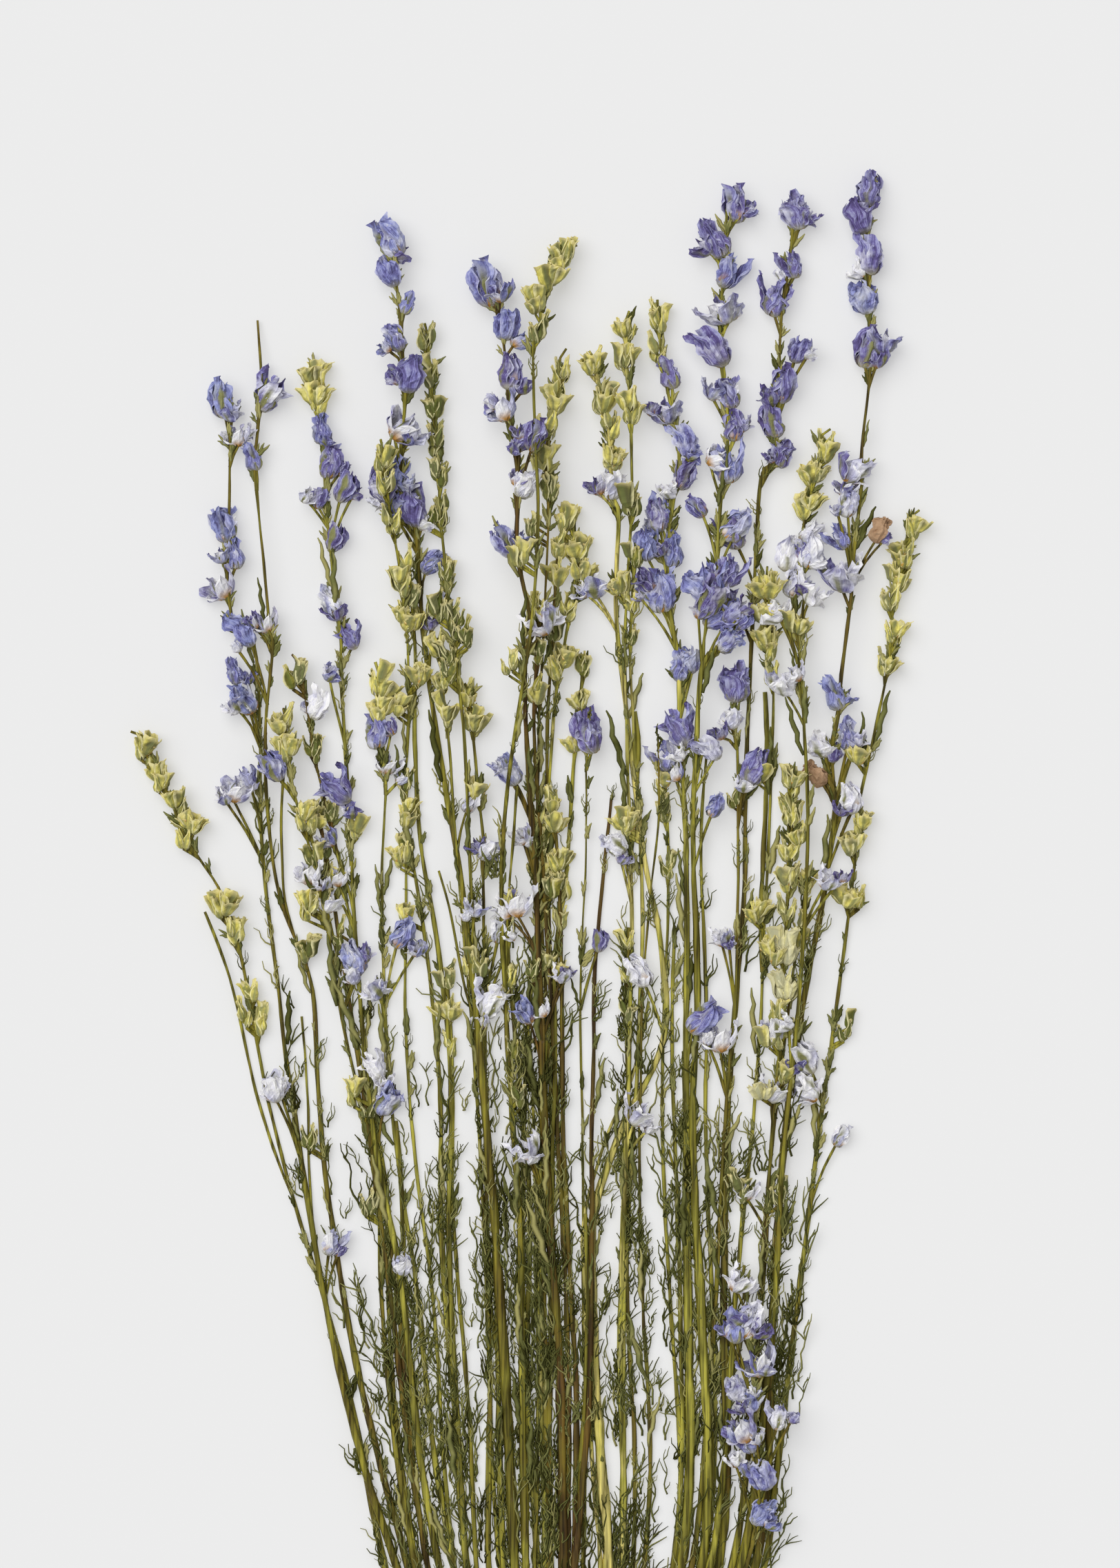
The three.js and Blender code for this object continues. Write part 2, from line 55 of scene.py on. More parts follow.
mm = 0.001
profileSides = 15  # corners round a stem or a strand of twine


def ringsOf(node):
    rows = {}
    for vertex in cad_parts[node].data.vertices:
        rows.setdefault(round(vertex.co.y, 5), []).append(vertex.co)
    rings = []
    for y in sorted(rows):
        xs = [co.x for co in rows[y]]
        zs = [co.z for co in rows[y]]
        half = (max(xs) - min(xs)) / (2 * cos(pi / 6))
        rings.append((Vector(((max(xs) + min(xs)) / 2, y, (max(zs) + min(zs)) / 2)), half))
    return rings


def bloomsOf(rings):
    found = []
    for (low, lowHalf), (high, highHalf) in zip(rings, rings[1:]):
        level = abs(low.x - high.x) < 0.05 * mm and abs(lowHalf - highHalf) < 0.05 * mm
        if level and lowHalf > 3 * mm:
            found.append(((low + high) / 2, lowHalf))
    return found[::-1]


def smoothed(points, reach):
    out = []
    for point in points:
        total, weight = Vector(), 0
        for other in points:
            share = exp(-(((other.y - point.y) / reach) ** 2))
            total += other * share
            weight += share
        out.append(Vector((total.x / weight, point.y, total.z / weight)))
    return out


def easeIn(share):
    share = min(1, max(0, share))
    return share * share * (3 - 2 * share)


stemSpec = {
    "step": 4 * mm,
    "ribs": 5, "ribDepth": 0.15,
    "slimming": 0.36,  # on top of the stem's own taper
    "wobble": 1.3 * mm, "stillBelow": 75 * mm, "freeFrom": 190 * mm,  # heights above the cut ends
    "stillShare": 0.1, "wobbleScale": 28.0,
    "swell": 0.9, "leastSwell": 0.55, "swellScale": 90.0,  # how a stem's width varies along it
    "lowest": 0.05 * mm,  # nothing of a stem reaches below this
    "tipWidth": 0.55 * mm,  # half width at the very tip
    "pedicel": [0.55 * mm, 0.45 * mm, 0.5 * mm],  # half widths from the stem to the floret
}


def readStalk(name):
    stem = ringsOf("stem_" + name)
    spike = ringsOf("spike_" + name) if "spike_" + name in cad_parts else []
    blooms = bloomsOf(spike)
    line = [centre for centre, _ in stem]
    if spike:
        upper = [centre for centre, _ in spike]
        line += smoothed(upper, 16 * mm)[1:-1] + [upper[-1]]
    cutHalf, footHalf = stem[0][1], stem[-1][1]
    tip, foot = line[-1].y, stem[-1][0].y
    widths = []
    for point in line:
        if point.y <= foot:
            share = (point.y - line[0].y) / (foot - line[0].y)
            widths.append(cutHalf + (footHalf - cutHalf) * share)
        else:
            share = (point.y - foot) / (tip - foot)
            widths.append(footHalf + (stemSpec["tipWidth"] - footHalf) * share)
    widths = [
        width * (1.12 - stemSpec["slimming"] * easeIn(((point.y - line[0].y) / (tip - line[0].y) - 0.35) / 0.4))
        for width, point in zip(widths, line)
    ]
    return {"line": line, "widths": widths, "blooms": blooms, "foot": foot, "shoots": [], "leafSpots": []}


def pointAt(line, y):
    for low, high in zip(line, line[1:]):
        if y <= high.y:
            break
    share = min(1, max(0, (y - low.y) / (high.y - low.y)))
    return low.lerp(high, share)


def triangleWave(turns):
    return 4 * abs(turns - int(turns // 1) - 0.5) - 1


def ridged(place):
    return 1 - 2.2 * abs(noise.noise(place))


def petalSheet(rng, spec, azimuth, layer, share=1.0):
    rows, cols = spec["along"], spec["across"]
    shift = Vector((rng.uniform(-50, 50), rng.uniform(-50, 50), rng.uniform(-50, 50)))
    length = spec["length"] * rng.uniform(0.75, 1.05) * share
    width = spec["width"] * rng.uniform(0.75, 1.15) * (0.4 + 0.6 * share)
    openBase = radians(spec["openBase"] * (0.55 + 0.45 * share) + rng.uniform(-12, 12))
    openTip = radians(spec["openTip"] + rng.uniform(-1, 1) * spec["openSpread"])
    curl = rng.uniform(-0.9, 0.9) * share
    phase = rng.uniform(0, 1)
    lean = rng.uniform(-0.4, 0.4)
    fine = np.linspace(0, 1, 41)
    bend = np.clip(fine * 2.1, 0, 1) ** 0.8
    angles = openBase + (openTip - openBase) * bend + curl * np.clip(fine * 2 - 1, 0, 1) ** 2
    radii = spec["neck"] + np.concatenate([[0], np.cumsum(np.sin(angles[1:]))]) * length / 40
    heights = np.concatenate([[0], np.cumsum(np.cos(angles[1:]))]) * length / 40
    radii = np.maximum(radii * (1 + 0.12 * layer), spec["neck"] * 0.5)
    points, marks, ridges = [], [], []
    for row in range(rows + 1):
        s = row / rows
        halfWidth = width * (0.10 + 0.90 * s ** 0.62) * (1 - max(0.0, (s - 0.6) / 0.4) ** 2.2 * spec["taper"])
        for col in range(cols + 1):
            t = col / cols * 2 - 1
            tear = noise.noise(Vector((t * 3.4, s * 0.7, 0)) + shift)
            reach = s * (1 - spec["point"] * t * t + spec["ragged"] * tear)
            radius = float(np.interp(reach, fine, radii))
            height = float(np.interp(reach, fine, heights))
            wrap = halfWidth / max(radius, 0.45 * spec["width"])
            turn = azimuth + t * wrap + lean * s
            place = Vector((radius * cos(turn), radius * sin(turn), height))
            outward = Vector((cos(turn), sin(turn), 0))
            fold = triangleWave(t * spec["folds"] * 0.5 + phase + 0.25 * s) * spec["pleat"] * s ** 0.7
            crease = 0.65 * ridged(place * 190 + shift) + 0.5 * ridged(place * 420 - shift)
            stand = fold + (crease - 0.45) * spec["crumple"] * (0.25 + 0.75 * s)
            place += outward * stand
            ridges.append(stand / (spec["pleat"] + 0.5 * spec["crumple"]))
            drift = noise.noise_vector(place * 230 - shift) * spec["crumple"] * 0.75 * s
            points.append(place + drift)
            marks.append((t * 0.5 + 0.5, s))
    corners = [row * (cols + 1) + col for row in range(rows) for col in range(cols)]
    faces = [(here, here + 1, here + cols + 2, here + cols + 1) for here in corners]
    return points, faces, marks, ridges


def placed(name, data):
    obj = bpy.data.objects.new(name, data)
    bpy.context.scene.collection.objects.link(obj)
    return obj


def meshOf(name, points, faces, marks=None):
    mesh = bpy.data.meshes.new(name)
    mesh.from_pydata([tuple(p) for p in points], [], faces)
    if marks:
        layer = mesh.uv_layers.new(name="petalMap")
        for loop in mesh.loops:
            layer.data[loop.index].uv = marks[loop.vertex_index]
    mesh.validate()
    return mesh


def evaluatedMesh(obj, name):
    bpy.context.view_layer.update()
    graph = bpy.context.evaluated_depsgraph_get()
    mesh = bpy.data.meshes.new_from_object(obj.evaluated_get(graph), preserve_all_data_layers=True, depsgraph=graph)
    mesh.name = name
    return mesh


def smoothFaces(mesh, smooth=True):
    mesh.polygons.foreach_set("use_smooth", [smooth] * len(mesh.polygons))
    return mesh


def thickened(mesh, thickness):
    obj = placed("sheet", mesh)
    solid = obj.modifiers.new("thickness", "SOLIDIFY")
    solid.thickness = thickness
    solid.offset = 0
    made = evaluatedMesh(obj, mesh.name)
    bpy.data.objects.remove(obj)
    return smoothFaces(made)


def makeBloom(name, seed, spec, **changes):
    spec = {**spec, **changes}
    rng = Random(seed)
    points, faces, marks = [], [], []
    values = {"ridge": [], "inner": [], "own": [], "green": []}
    start = rng.uniform(0, 2 * pi)

    def addSheet(sheet, inner):
        faces.extend(tuple(i + len(points) for i in face) for face in sheet[1])
        points.extend(sheet[0])
        marks.extend(sheet[2])
        count = len(sheet[0])
        values["ridge"] += sheet[3]
        values["inner"] += [inner] * count
        values["own"] += [rng.uniform(-1, 1)] * count
        values["green"] += [max(0.0, rng.uniform(-0.3, 1.5)) * (1 - inner)] * count

    for k in range(spec["petals"]):
        azimuth = start + 2 * pi * k / spec["petals"] + rng.uniform(-0.25, 0.25)
        addSheet(petalSheet(rng, spec, azimuth, k % 3 - 1), 0.0)
    small = {**spec, "along": 6, "across": 5}
    for k in range(spec["inner"]):
        azimuth = start + 2 * pi * (k + 0.5) / spec["inner"] + rng.uniform(-0.3, 0.3)
        addSheet(petalSheet(rng, small, azimuth, -1, spec["innerLength"]), 1.0)
    points = [Vector((p.x * spec["depth"], p.y, p.z)) for p in points]
    mesh = meshOf(name, points, faces, marks)
    for key, numbers in values.items():
        mesh.attributes.new(key, "FLOAT", "POINT").data.foreach_set("value", numbers)
    return thickened(mesh, spec["thickness"])


def tube(points, widths, sides=3, flat=1.0):
    places, faces = [], []
    for k, point in enumerate(points):
        ahead = points[min(k + 1, len(points) - 1)] - points[max(k - 1, 0)]
        across = ahead.cross(Vector((1, 0, 0))).normalized()
        over = across.cross(ahead).normalized()
        for side in range(sides):
            angle = 2 * pi * side / sides
            places.append(point + (across * cos(angle) + over * sin(angle) * flat) * widths[k])
    for k in range(len(points) - 1):
        for side in range(sides):
            here, beside = k * sides + side, k * sides + (side + 1) % sides
            faces.append((here, beside, beside + sides, here + sides))
    faces.append(tuple(range(sides))[::-1])
    faces.append(tuple(range(len(places) - sides, len(places))))
    return places, faces


def leafLine(rng, start, heading, rise, reach, steps, wave):
    waver, bend = rng.uniform(0, 2 * pi), rng.uniform(-0.5, 0.5) * wave
    beats = rng.uniform(1.6, 3.0)
    place, line = start.copy(), []
    for step in range(steps + 1):
        share = step / steps
        line.append(place.copy())
        turn = heading + bend * share + wave * sin(waver + share * beats * 2 * pi)
        lift = rise + 0.6 * wave * sin(2 * waver + share * beats * 5)
        place += Vector((lift, sin(turn), cos(turn))).normalized() * reach / steps
    return line


def makeLeaf(name, seed, length, width, blades, steps, spread, wave, sides=3, flat=1.0, prongs=0):
    rng = Random(seed)
    points, faces = [], []

    def addBlade(line, widths):
        made = tube(line, widths, sides, flat)
        faces.extend(tuple(i + len(points) for i in face) for face in made[1])
        points.extend(made[0])

    for _ in range(blades):
        start = Vector((rng.uniform(-0.5, 0.5), rng.uniform(-0.9, 0.9), 0)) * mm
        heading, rise = rng.uniform(-spread, spread), rng.uniform(-0.02, 0.09)
        line = leafLine(rng, start, heading, rise, length * rng.uniform(0.6, 1.1), steps, wave)
        if sides == 3:
            addBlade(line, [width * (1.15 - 0.7 * step / steps) for step in range(steps + 1)])
        else:
            addBlade(line, [width * (0.25 + sin(pi * (0.12 + 0.86 * step / steps))) for step in range(steps + 1)])
        for _ in range(prongs):
            away = heading + rng.choice((-1, 1)) * rng.uniform(0.25, 0.7)
            prong = leafLine(rng, rng.choice(line[1:-2]), away, rise, length * rng.uniform(0.16, 0.34), 3, wave)
            addBlade(prong, [width * 0.8, width * 0.75, width * 0.6, width * 0.35])
    return smoothFaces(meshOf(name, points, faces))


def formCollection(name, meshes):
    group = bpy.data.collections.new(name)
    for k, mesh in enumerate(meshes):
        obj = bpy.data.objects.new(f"{name}_{k:02d}", mesh)
        group.objects.link(obj)
    return group


def newTree(name, inputs):
    tree = bpy.data.node_groups.new(name, "GeometryNodeTree")
    inputs = [("Geometry", "Geometry", None), *inputs, ("Material", "Material", None)]
    for label, kind, value in inputs:
        socket = tree.interface.new_socket(label, in_out="INPUT", socket_type="NodeSocket" + kind)
        if value is not None:
            socket.default_value = value
    tree.interface.new_socket("Geometry", in_out="OUTPUT", socket_type="NodeSocketGeometry")
    return tree, tree.nodes.new("NodeGroupInput").outputs


def fill(tree, socket, value):  # with a plain value, another socket, or a node's first output
    if isinstance(value, bpy.types.Node):
        value = value.outputs[0]
    if isinstance(value, bpy.types.NodeSocket):
        tree.links.new(value, socket)
    else:
        socket.default_value = value


def addNode(tree, kind, values=None, **settings):
    node = tree.nodes.new(kind)
    for key, value in settings.items():
        setattr(node, key, value)
    for key, value in (values or {}).items():
        fill(tree, node.inputs[key], value)
    return node


def maths(tree, operation, *values):
    return addNode(tree, "ShaderNodeMath", dict(enumerate(values)), operation=operation).outputs[0]


def attribute(tree, name, kind):
    node = addNode(tree, "GeometryNodeInputNamedAttribute", {"Name": name}, data_type=kind)
    return node.outputs["Attribute"]


def coated(tree, start, geometry):  # the end of every tree
    coat = addNode(tree, "GeometryNodeSetMaterial", {"Geometry": geometry, "Material": start["Material"]})
    addNode(tree, "NodeGroupOutput", {0: coat})
    return tree


def smoothLine(tree, start):
    curve = addNode(tree, "GeometryNodeMeshToCurve", {0: start["Geometry"]})
    curve = addNode(tree, "GeometryNodeCurveSplineType", {0: curve}, spline_type="CATMULL_ROM")
    return addNode(tree, "GeometryNodeResampleCurve", {"Curve": curve, "Length": start["Step"]}, mode="LENGTH")


def swept(tree, curve, radius, lobes, scale):  # a round profile, its corners moved in and out, along a curve
    ring = addNode(tree, "GeometryNodeCurvePrimitiveCircle", {"Resolution": profileSides, "Radius": radius})
    place = addNode(tree, "GeometryNodeInputPosition")
    corners = addNode(tree, "ShaderNodeVectorMath", {0: place, "Scale": lobes}, operation="SCALE")
    lobed = addNode(tree, "GeometryNodeSetPosition", {"Geometry": ring, "Position": corners})
    solid = addNode(tree, "GeometryNodeCurveToMesh", {
        "Curve": curve, "Profile Curve": lobed, "Scale": scale, "Fill Caps": True,
    })
    return addNode(tree, "GeometryNodeRealizeInstances", {0: solid})


def growStemsTree():
    tree, start = newTree("growStems", [
        ("Step", "Float", stemSpec["step"]),
        ("Ribs", "Float", stemSpec["ribs"]),
        ("Rib Depth", "Float", stemSpec["ribDepth"]),
        ("Wobble", "Float", stemSpec["wobble"]),
    ])
    place = addNode(tree, "GeometryNodeInputPosition")
    wave = {"Vector": place, "Scale": stemSpec["wobbleScale"], "Detail": 2.0}
    waver = addNode(tree, "ShaderNodeTexNoise", wave).outputs["Color"]
    centred = addNode(tree, "ShaderNodeVectorMath", {0: waver, 1: (0.5, 0.5, 0.5)}, operation="SUBTRACT")
    height = addNode(tree, "ShaderNodeSeparateXYZ", {0: place}).outputs[1]
    free = addNode(tree, "ShaderNodeMapRange", {
        "Value": height, "To Min": stemSpec["stillShare"],
        "From Min": cadBox[0][1] + stemSpec["stillBelow"], "From Max": cadBox[0][1] + stemSpec["freeFrom"],
    })
    reach = maths(tree, "MULTIPLY", free, start["Wobble"])
    sized = addNode(tree, "ShaderNodeVectorMath", {0: centred, "Scale": reach}, operation="SCALE")
    moved = addNode(tree, "GeometryNodeSetPosition", {"Geometry": smoothLine(tree, start), "Offset": sized})
    swell = addNode(tree, "ShaderNodeTexNoise", {"Vector": place, "Scale": stemSpec["swellScale"], "Detail": 1.0})
    factor = maths(tree, "MULTIPLY_ADD", swell, stemSpec["swell"], stemSpec["leastSwell"])
    width = maths(tree, "MULTIPLY", attribute(tree, "thick", "FLOAT"), factor)
    along = addNode(tree, "GeometryNodeSplineParameter").outputs["Factor"]
    angle = maths(tree, "MULTIPLY", maths(tree, "MULTIPLY", along, start["Ribs"]), 2 * pi)
    depth = maths(tree, "MULTIPLY", maths(tree, "SINE", angle), start["Rib Depth"])
    real = swept(tree, moved, 1.0, maths(tree, "ADD", depth, 1.0), width)
    rest = addNode(tree, "ShaderNodeSeparateXYZ", {0: place}).outputs
    above = maths(tree, "MAXIMUM", rest[2], stemSpec["lowest"])
    lying = addNode(tree, "ShaderNodeCombineXYZ", {0: rest[0], 1: rest[1], 2: above})
    return coated(tree, start, addNode(tree, "GeometryNodeSetPosition", {"Geometry": real, "Position": lying}))


pressSpec = {  # how pieces that lie on the surface are pressed
    "clear": 0.25 * mm, "from": 3.0 * mm, "over": 2.75 * mm,
}


def setOnStalkTree():
    tree, start = newTree("setOnStalk", [
        ("Forms", "Collection", None),
        ("Surface Height", "Float", pressSpec["clear"]),
    ])
    forms = addNode(tree, "GeometryNodeCollectionInfo", {
        "Separate Children": True, "Reset Children": True, "Collection": start["Forms"],
    })
    turn = addNode(tree, "FunctionNodeEulerToRotation", {0: attribute(tree, "turn", "FLOAT_VECTOR")})
    spread = addNode(tree, "GeometryNodeInstanceOnPoints", {
        "Points": start["Geometry"], "Instance": forms, "Pick Instance": True,
        "Instance Index": attribute(tree, "form", "INT"), "Rotation": turn,
        "Scale": attribute(tree, "size", "FLOAT_VECTOR"),
    })
    real = addNode(tree, "GeometryNodeRealizeInstances", {0: spread})
    # what would reach below the surface is pressed onto it, thinner the deeper it was
    place = addNode(tree, "ShaderNodeSeparateXYZ", {0: addNode(tree, "GeometryNodeInputPosition")}).outputs
    above = maths(tree, "SUBTRACT", place[2], pressSpec["from"])
    depth = maths(tree, "DIVIDE", above, pressSpec["over"])
    shrink = maths(tree, "EXPONENT", maths(tree, "MINIMUM", depth, 0.0))
    kept = maths(tree, "MULTIPLY_ADD", shrink, pressSpec["over"], start["Surface Height"])
    high = maths(tree, "ADD", maths(tree, "MAXIMUM", above, 0.0), kept)
    joined = addNode(tree, "ShaderNodeCombineXYZ", {0: place[0], 1: place[1], 2: high})
    return coated(tree, start, addNode(tree, "GeometryNodeSetPosition", {"Geometry": real, "Position": joined}))


def runTree(obj, tree, name, **values):
    grown = obj.modifiers.new(tree.name, "NODES")
    grown.node_group = tree
    for item in tree.interface.items_tree:
        if item.in_out == "INPUT" and item.name in values:
            grown[item.identifier] = values[item.name]
    mesh = evaluatedMesh(obj, name)
    bpy.data.objects.remove(obj)
    return placed(name, mesh)


def seedObject(name, points, edges=()):
    mesh = bpy.data.meshes.new(name)
    mesh.from_pydata([tuple(p) for p in points], list(edges), [])
    return placed(name, mesh)


def storeValues(obj, name, kind, values):
    layer = obj.data.attributes.new(name, kind, "POINT")
    key = "vector" if kind == "FLOAT_VECTOR" else "value"
    layer.data.foreach_set(key, np.array(values, dtype=float if kind != "INT" else int).ravel())


class Finish:  # a procedural material, with short calls for the nodes it is built from
    def __init__(self, name):
        self.material = bpy.data.materials.new(name)
        self.material.use_nodes = True
        self.tree = self.material.node_tree
        self.shader = self.tree.nodes["Principled BSDF"]
        self.coords = addNode(self.tree, "ShaderNodeTexCoord").outputs["Object"]

    def petalMap(self):
        mapped = addNode(self.tree, "ShaderNodeUVMap", uv_map="petalMap").outputs[0]
        parts = addNode(self.tree, "ShaderNodeSeparateXYZ", {0: mapped}).outputs
        return mapped, parts[0], parts[1]

    def read(self, name):
        return addNode(self.tree, "ShaderNodeAttribute", attribute_name=name).outputs["Fac"]

    def plus(self, first, second):
        return maths(self.tree, "ADD", first, second)

    def times(self, first, second):
        return maths(self.tree, "MULTIPLY", first, second)

    def apart(self, first, second):  # how far from each other, either way
        return maths(self.tree, "ABSOLUTE", maths(self.tree, "SUBTRACT", first, second))

    def centred(self, factor):
        return maths(self.tree, "SUBTRACT", factor, 0.5)

    def noise(self, scale, detail=3.0, roughness=0.55, vector=None, stretch=None):
        vector = vector or self.coords
        if stretch:
            vector = addNode(self.tree, "ShaderNodeMapping", {0: vector, "Scale": stretch})
        values = {"Vector": vector, "Scale": scale, "Detail": detail, "Roughness": roughness}
        return addNode(self.tree, "ShaderNodeTexNoise", values).outputs[0]

    def ramp(self, factor, stops):
        node = addNode(self.tree, "ShaderNodeValToRGB", {0: factor})
        elements = node.color_ramp.elements
        while len(elements) < len(stops):
            elements.new(0.5)
        for element, (place, colour) in zip(elements, stops):
            element.position = place
            element.color = (*colour, 1)
        return node.outputs[0]

    def rising(self, factor, low, high):
        return self.ramp(factor, [(low, (0, 0, 0)), (high, (1, 1, 1))])

    def falling(self, factor, low, high):
        return self.ramp(factor, [(low, (1, 1, 1)), (high, (0, 0, 0))])

    def mix(self, factor, first, second, blend="MIX"):
        node = addNode(self.tree, "ShaderNodeMix", {0: factor}, data_type="RGBA", blend_type=blend)
        for socket, value in ((node.inputs[6], first), (node.inputs[7], second)):
            fill(self.tree, socket, (*value, 1) if isinstance(value, tuple) else value)
        return node.outputs[2]

    def paint(self, main, where, strength, colour):  # a second colour over part of the first
        return self.mix(self.times(where, strength), main, colour)

    def done(self, main, roughness, specular, height, strength, distance):
        bump = addNode(self.tree, "ShaderNodeBump", {"Strength": strength, "Distance": distance, "Height": height})
        values = {"Base Color": main, "Normal": bump, "Roughness": roughness, "Specular IOR Level": specular}
        for key, value in values.items():
            fill(self.tree, self.shader.inputs[key], value)
        return self.material


def driedPetalMaterial():
    made = Finish("driedPetal")
    mapped, across, along = made.petalMap()
    tone, pale, tan, inner, own, green, ridge = (
        made.read(name) for name in ("tone", "pale", "tan", "inner", "own", "green", "ridge")
    )
    blotch = made.centred(made.noise(150))
    main = made.ramp(made.plus(tone, made.times(blotch, 1.2)), [
        (0.0, (0.155, 0.12, 0.335)), (0.35, (0.205, 0.18, 0.445)),
        (0.7, (0.225, 0.235, 0.54)), (1.0, (0.30, 0.34, 0.65)),
    ])
    # painted shade and painted highlight: valleys darkened to deep violet and ridges lightened nearly white, mixed
    # with the petal's own fibres and crumbs
    fibres = made.noise(1.0, 4, vector=mapped, stretch=(24, 2.2, 1))
    crumbs = made.noise(560, 5, 0.75)
    grain = made.plus(made.times(fibres, 1.5), made.times(crumbs, 0.9))
    height = made.times(made.plus(made.times(ridge, 0.45), grain), 0.5)
    veinsAndPaintedShade = made.falling(height, 0.47, 0.67)
    main = made.paint(main, veinsAndPaintedShade, 0.82, (0.054, 0.038, 0.104))
    # painted highlight: the highest ridges and fibres lightened towards pale lavender
    main = made.paint(main, made.rising(height, 0.64, 0.80), 0.7, (0.52, 0.54, 0.77))
    # white petals get the same painted shade in their valleys
    white = made.paint((0.95, 0.94, 0.94), veinsAndPaintedShade, 0.6, (0.58, 0.57, 0.76))
    for part, share in ((inner, 0.3), (own, 0.16), (blotch, 1.5)):
        pale = made.plus(pale, made.times(part, share))
    main = made.mix(made.rising(pale, 0.22, 0.75), main, white)
    # green midrib, cream base, pale edge
    fromMiddle = made.apart(across, 0.5)
    rib = made.falling(made.plus(fromMiddle, made.times(blotch, 0.25)), 0.05, 0.19)
    rib = made.times(rib, made.falling(along, 0.55, 0.95))
    main = made.paint(main, rib, green, made.mix(crumbs, (0.13, 0.13, 0.045), (0.36, 0.36, 0.15)))
    main = made.paint(main, made.falling(along, 0.05, 0.30), 0.85, (0.50, 0.47, 0.29))
    heart = made.times(inner, maths(made.tree, "SUBTRACT", 1.0, along))
    main = made.mix(made.rising(heart, 0.45, 0.8), main, (0.50, 0.26, 0.06))
    main = made.paint(main, made.rising(fromMiddle, 0.40, 0.5), 0.5, (0.66, 0.66, 0.80))
    main = made.mix(tan, main, made.mix(crumbs, (0.20, 0.09, 0.035), (0.70, 0.48, 0.30)))
    return made.done(main, 0.75, 0.2, made.plus(fibres, crumbs), 0.8, 0.35 * mm)


def driedBudMaterial():
    made = Finish("driedBud")
    mapped, across, along = made.petalMap()
    tone, pale, ridge = made.read("tone"), made.read("pale"), made.read("ridge")
    blotch = made.noise(240)
    main = made.ramp(made.plus(tone, made.times(made.centred(blotch), 1.2)), [
        (0.0, (0.085, 0.09, 0.014)), (0.4, (0.27, 0.245, 0.03)),
        (0.75, (0.60, 0.52, 0.05)), (1.0, (0.92, 0.80, 0.13)),
    ])
    # painted shade: dark olive in the valleys between the bud's ridges, broken up by blotches
    main = made.paint(main, made.falling(made.plus(ridge, blotch), 0.15, 0.75), 0.85, (0.075, 0.075, 0.013))
    # painted highlight: pale yellow on the ridges, stronger on the yellower buds
    paintedCrestHighlight = made.rising(made.plus(made.times(ridge, 0.5), blotch), 0.58, 0.85)
    main = made.paint(main, paintedCrestHighlight, made.times(tone, 0.9), (0.84, 0.77, 0.24))
    main = made.paint(main, made.falling(along, 0.12, 0.45), 0.6, (0.17, 0.18, 0.035))
    lines = made.noise(1.0, 2, vector=mapped, stretch=(14, 1.6, 1))
    streaks = made.ramp(lines, [(0.3, (0.5, 0.52, 0.4)), (0.6, (1.1, 1.1, 1.05))])
    main = made.mix(0.7, main, streaks, "MULTIPLY")
    midrib = made.apart(across, 0.5)
    rib = made.falling(made.plus(midrib, made.times(blotch, 0.1)), 0.09, 0.22)
    main = made.paint(main, rib, 0.75, (0.12, 0.145, 0.025))
    main = made.paint(main, made.rising(midrib, 0.34, 0.44), 0.75, (0.84, 0.78, 0.42))
    inside = made.rising(made.plus(made.read("inner"), made.times(blotch, 0.3)), 0.5, 0.8)
    main = made.mix(inside, main, (0.62, 0.34, 0.03))
    main = made.paint(main, made.rising(along, 0.80, 0.96), 0.6, (0.88, 0.76, 0.34))
    main = made.mix(pale, main, (0.72, 0.69, 0.48))
    return made.done(main, 0.7, 0.15, made.plus(lines, blotch), 0.5, 0.25 * mm)


def dryStemMaterial():
    made = Finish("dryStem")
    streaks = made.noise(1.0, stretch=(900, 26, 900))
    patches = made.noise(1.0, stretch=(90, 48, 90))
    main = made.ramp(made.plus(made.read("tone"), made.times(made.centred(patches), 1.1)), [
        (0.0, (0.090, 0.050, 0.012)), (0.25, (0.118, 0.088, 0.013)), (0.5, (0.178, 0.160, 0.021)),
        (0.8, (0.31, 0.29, 0.048)), (1.0, (0.53, 0.46, 0.15)),
    ])
    # lengthwise streaks along the stem: darker grooves, partly painted shade, and streaks up to nearly twice as
    # bright, which are painted highlights
    groovesAndPaintedLight = made.ramp(streaks, [(0.36, (0.20, 0.18, 0.10)), (0.52, (1, 1, 1)), (0.68, (1.85, 1.8, 1.5))])
    main = made.mix(0.9, main, groovesAndPaintedLight, "MULTIPLY")
    main = made.paint(main, made.rising(made.noise(420, 2), 0.68, 0.76), 0.6, (0.11, 0.075, 0.035))
    normal = addNode(made.tree, "ShaderNodeNewGeometry").outputs["True Normal"]
    facing = addNode(made.tree, "ShaderNodeSeparateXYZ", {0: normal}).outputs[1]
    cutEnd = maths(made.tree, "LESS_THAN", facing, -0.85)  # pale pith where a stalk is cut
    main = made.mix(cutEnd, main, made.mix(streaks, (0.30, 0.24, 0.11), (0.72, 0.66, 0.44)))
    return made.done(main, 0.62, 0.15, streaks, 0.6, 0.3 * mm)


def dryLeafMaterial():
    made = Finish("dryLeaf")
    main = made.ramp(made.plus(made.read("tone"), made.centred(made.noise(130))), [
        (0.0, (0.032, 0.030, 0.006)), (0.35, (0.085, 0.088, 0.022)),
        (0.65, (0.175, 0.180, 0.058)), (1.0, (0.38, 0.35, 0.13)),
    ])
    return made.done(main, 0.8, 0.05, made.noise(1400, 2), 0.4, 0.15 * mm)


def twineMaterial():
    made = Finish("twine")
    fibres = made.noise(1.0, 4, stretch=(500, 1500, 900))
    main = made.ramp(fibres, [(0.25, (0.20, 0.12, 0.05)), (0.55, (0.44, 0.31, 0.15)), (0.8, (0.62, 0.48, 0.28))])
    return made.done(main, 0.9, 0.5, fibres, 0.8, 0.3 * mm)


materials = {
    "petal": driedPetalMaterial(), "bud": driedBudMaterial(), "stem": dryStemMaterial(),
    "leaf": dryLeafMaterial(), "twine": twineMaterial(),
}
print("materials made")


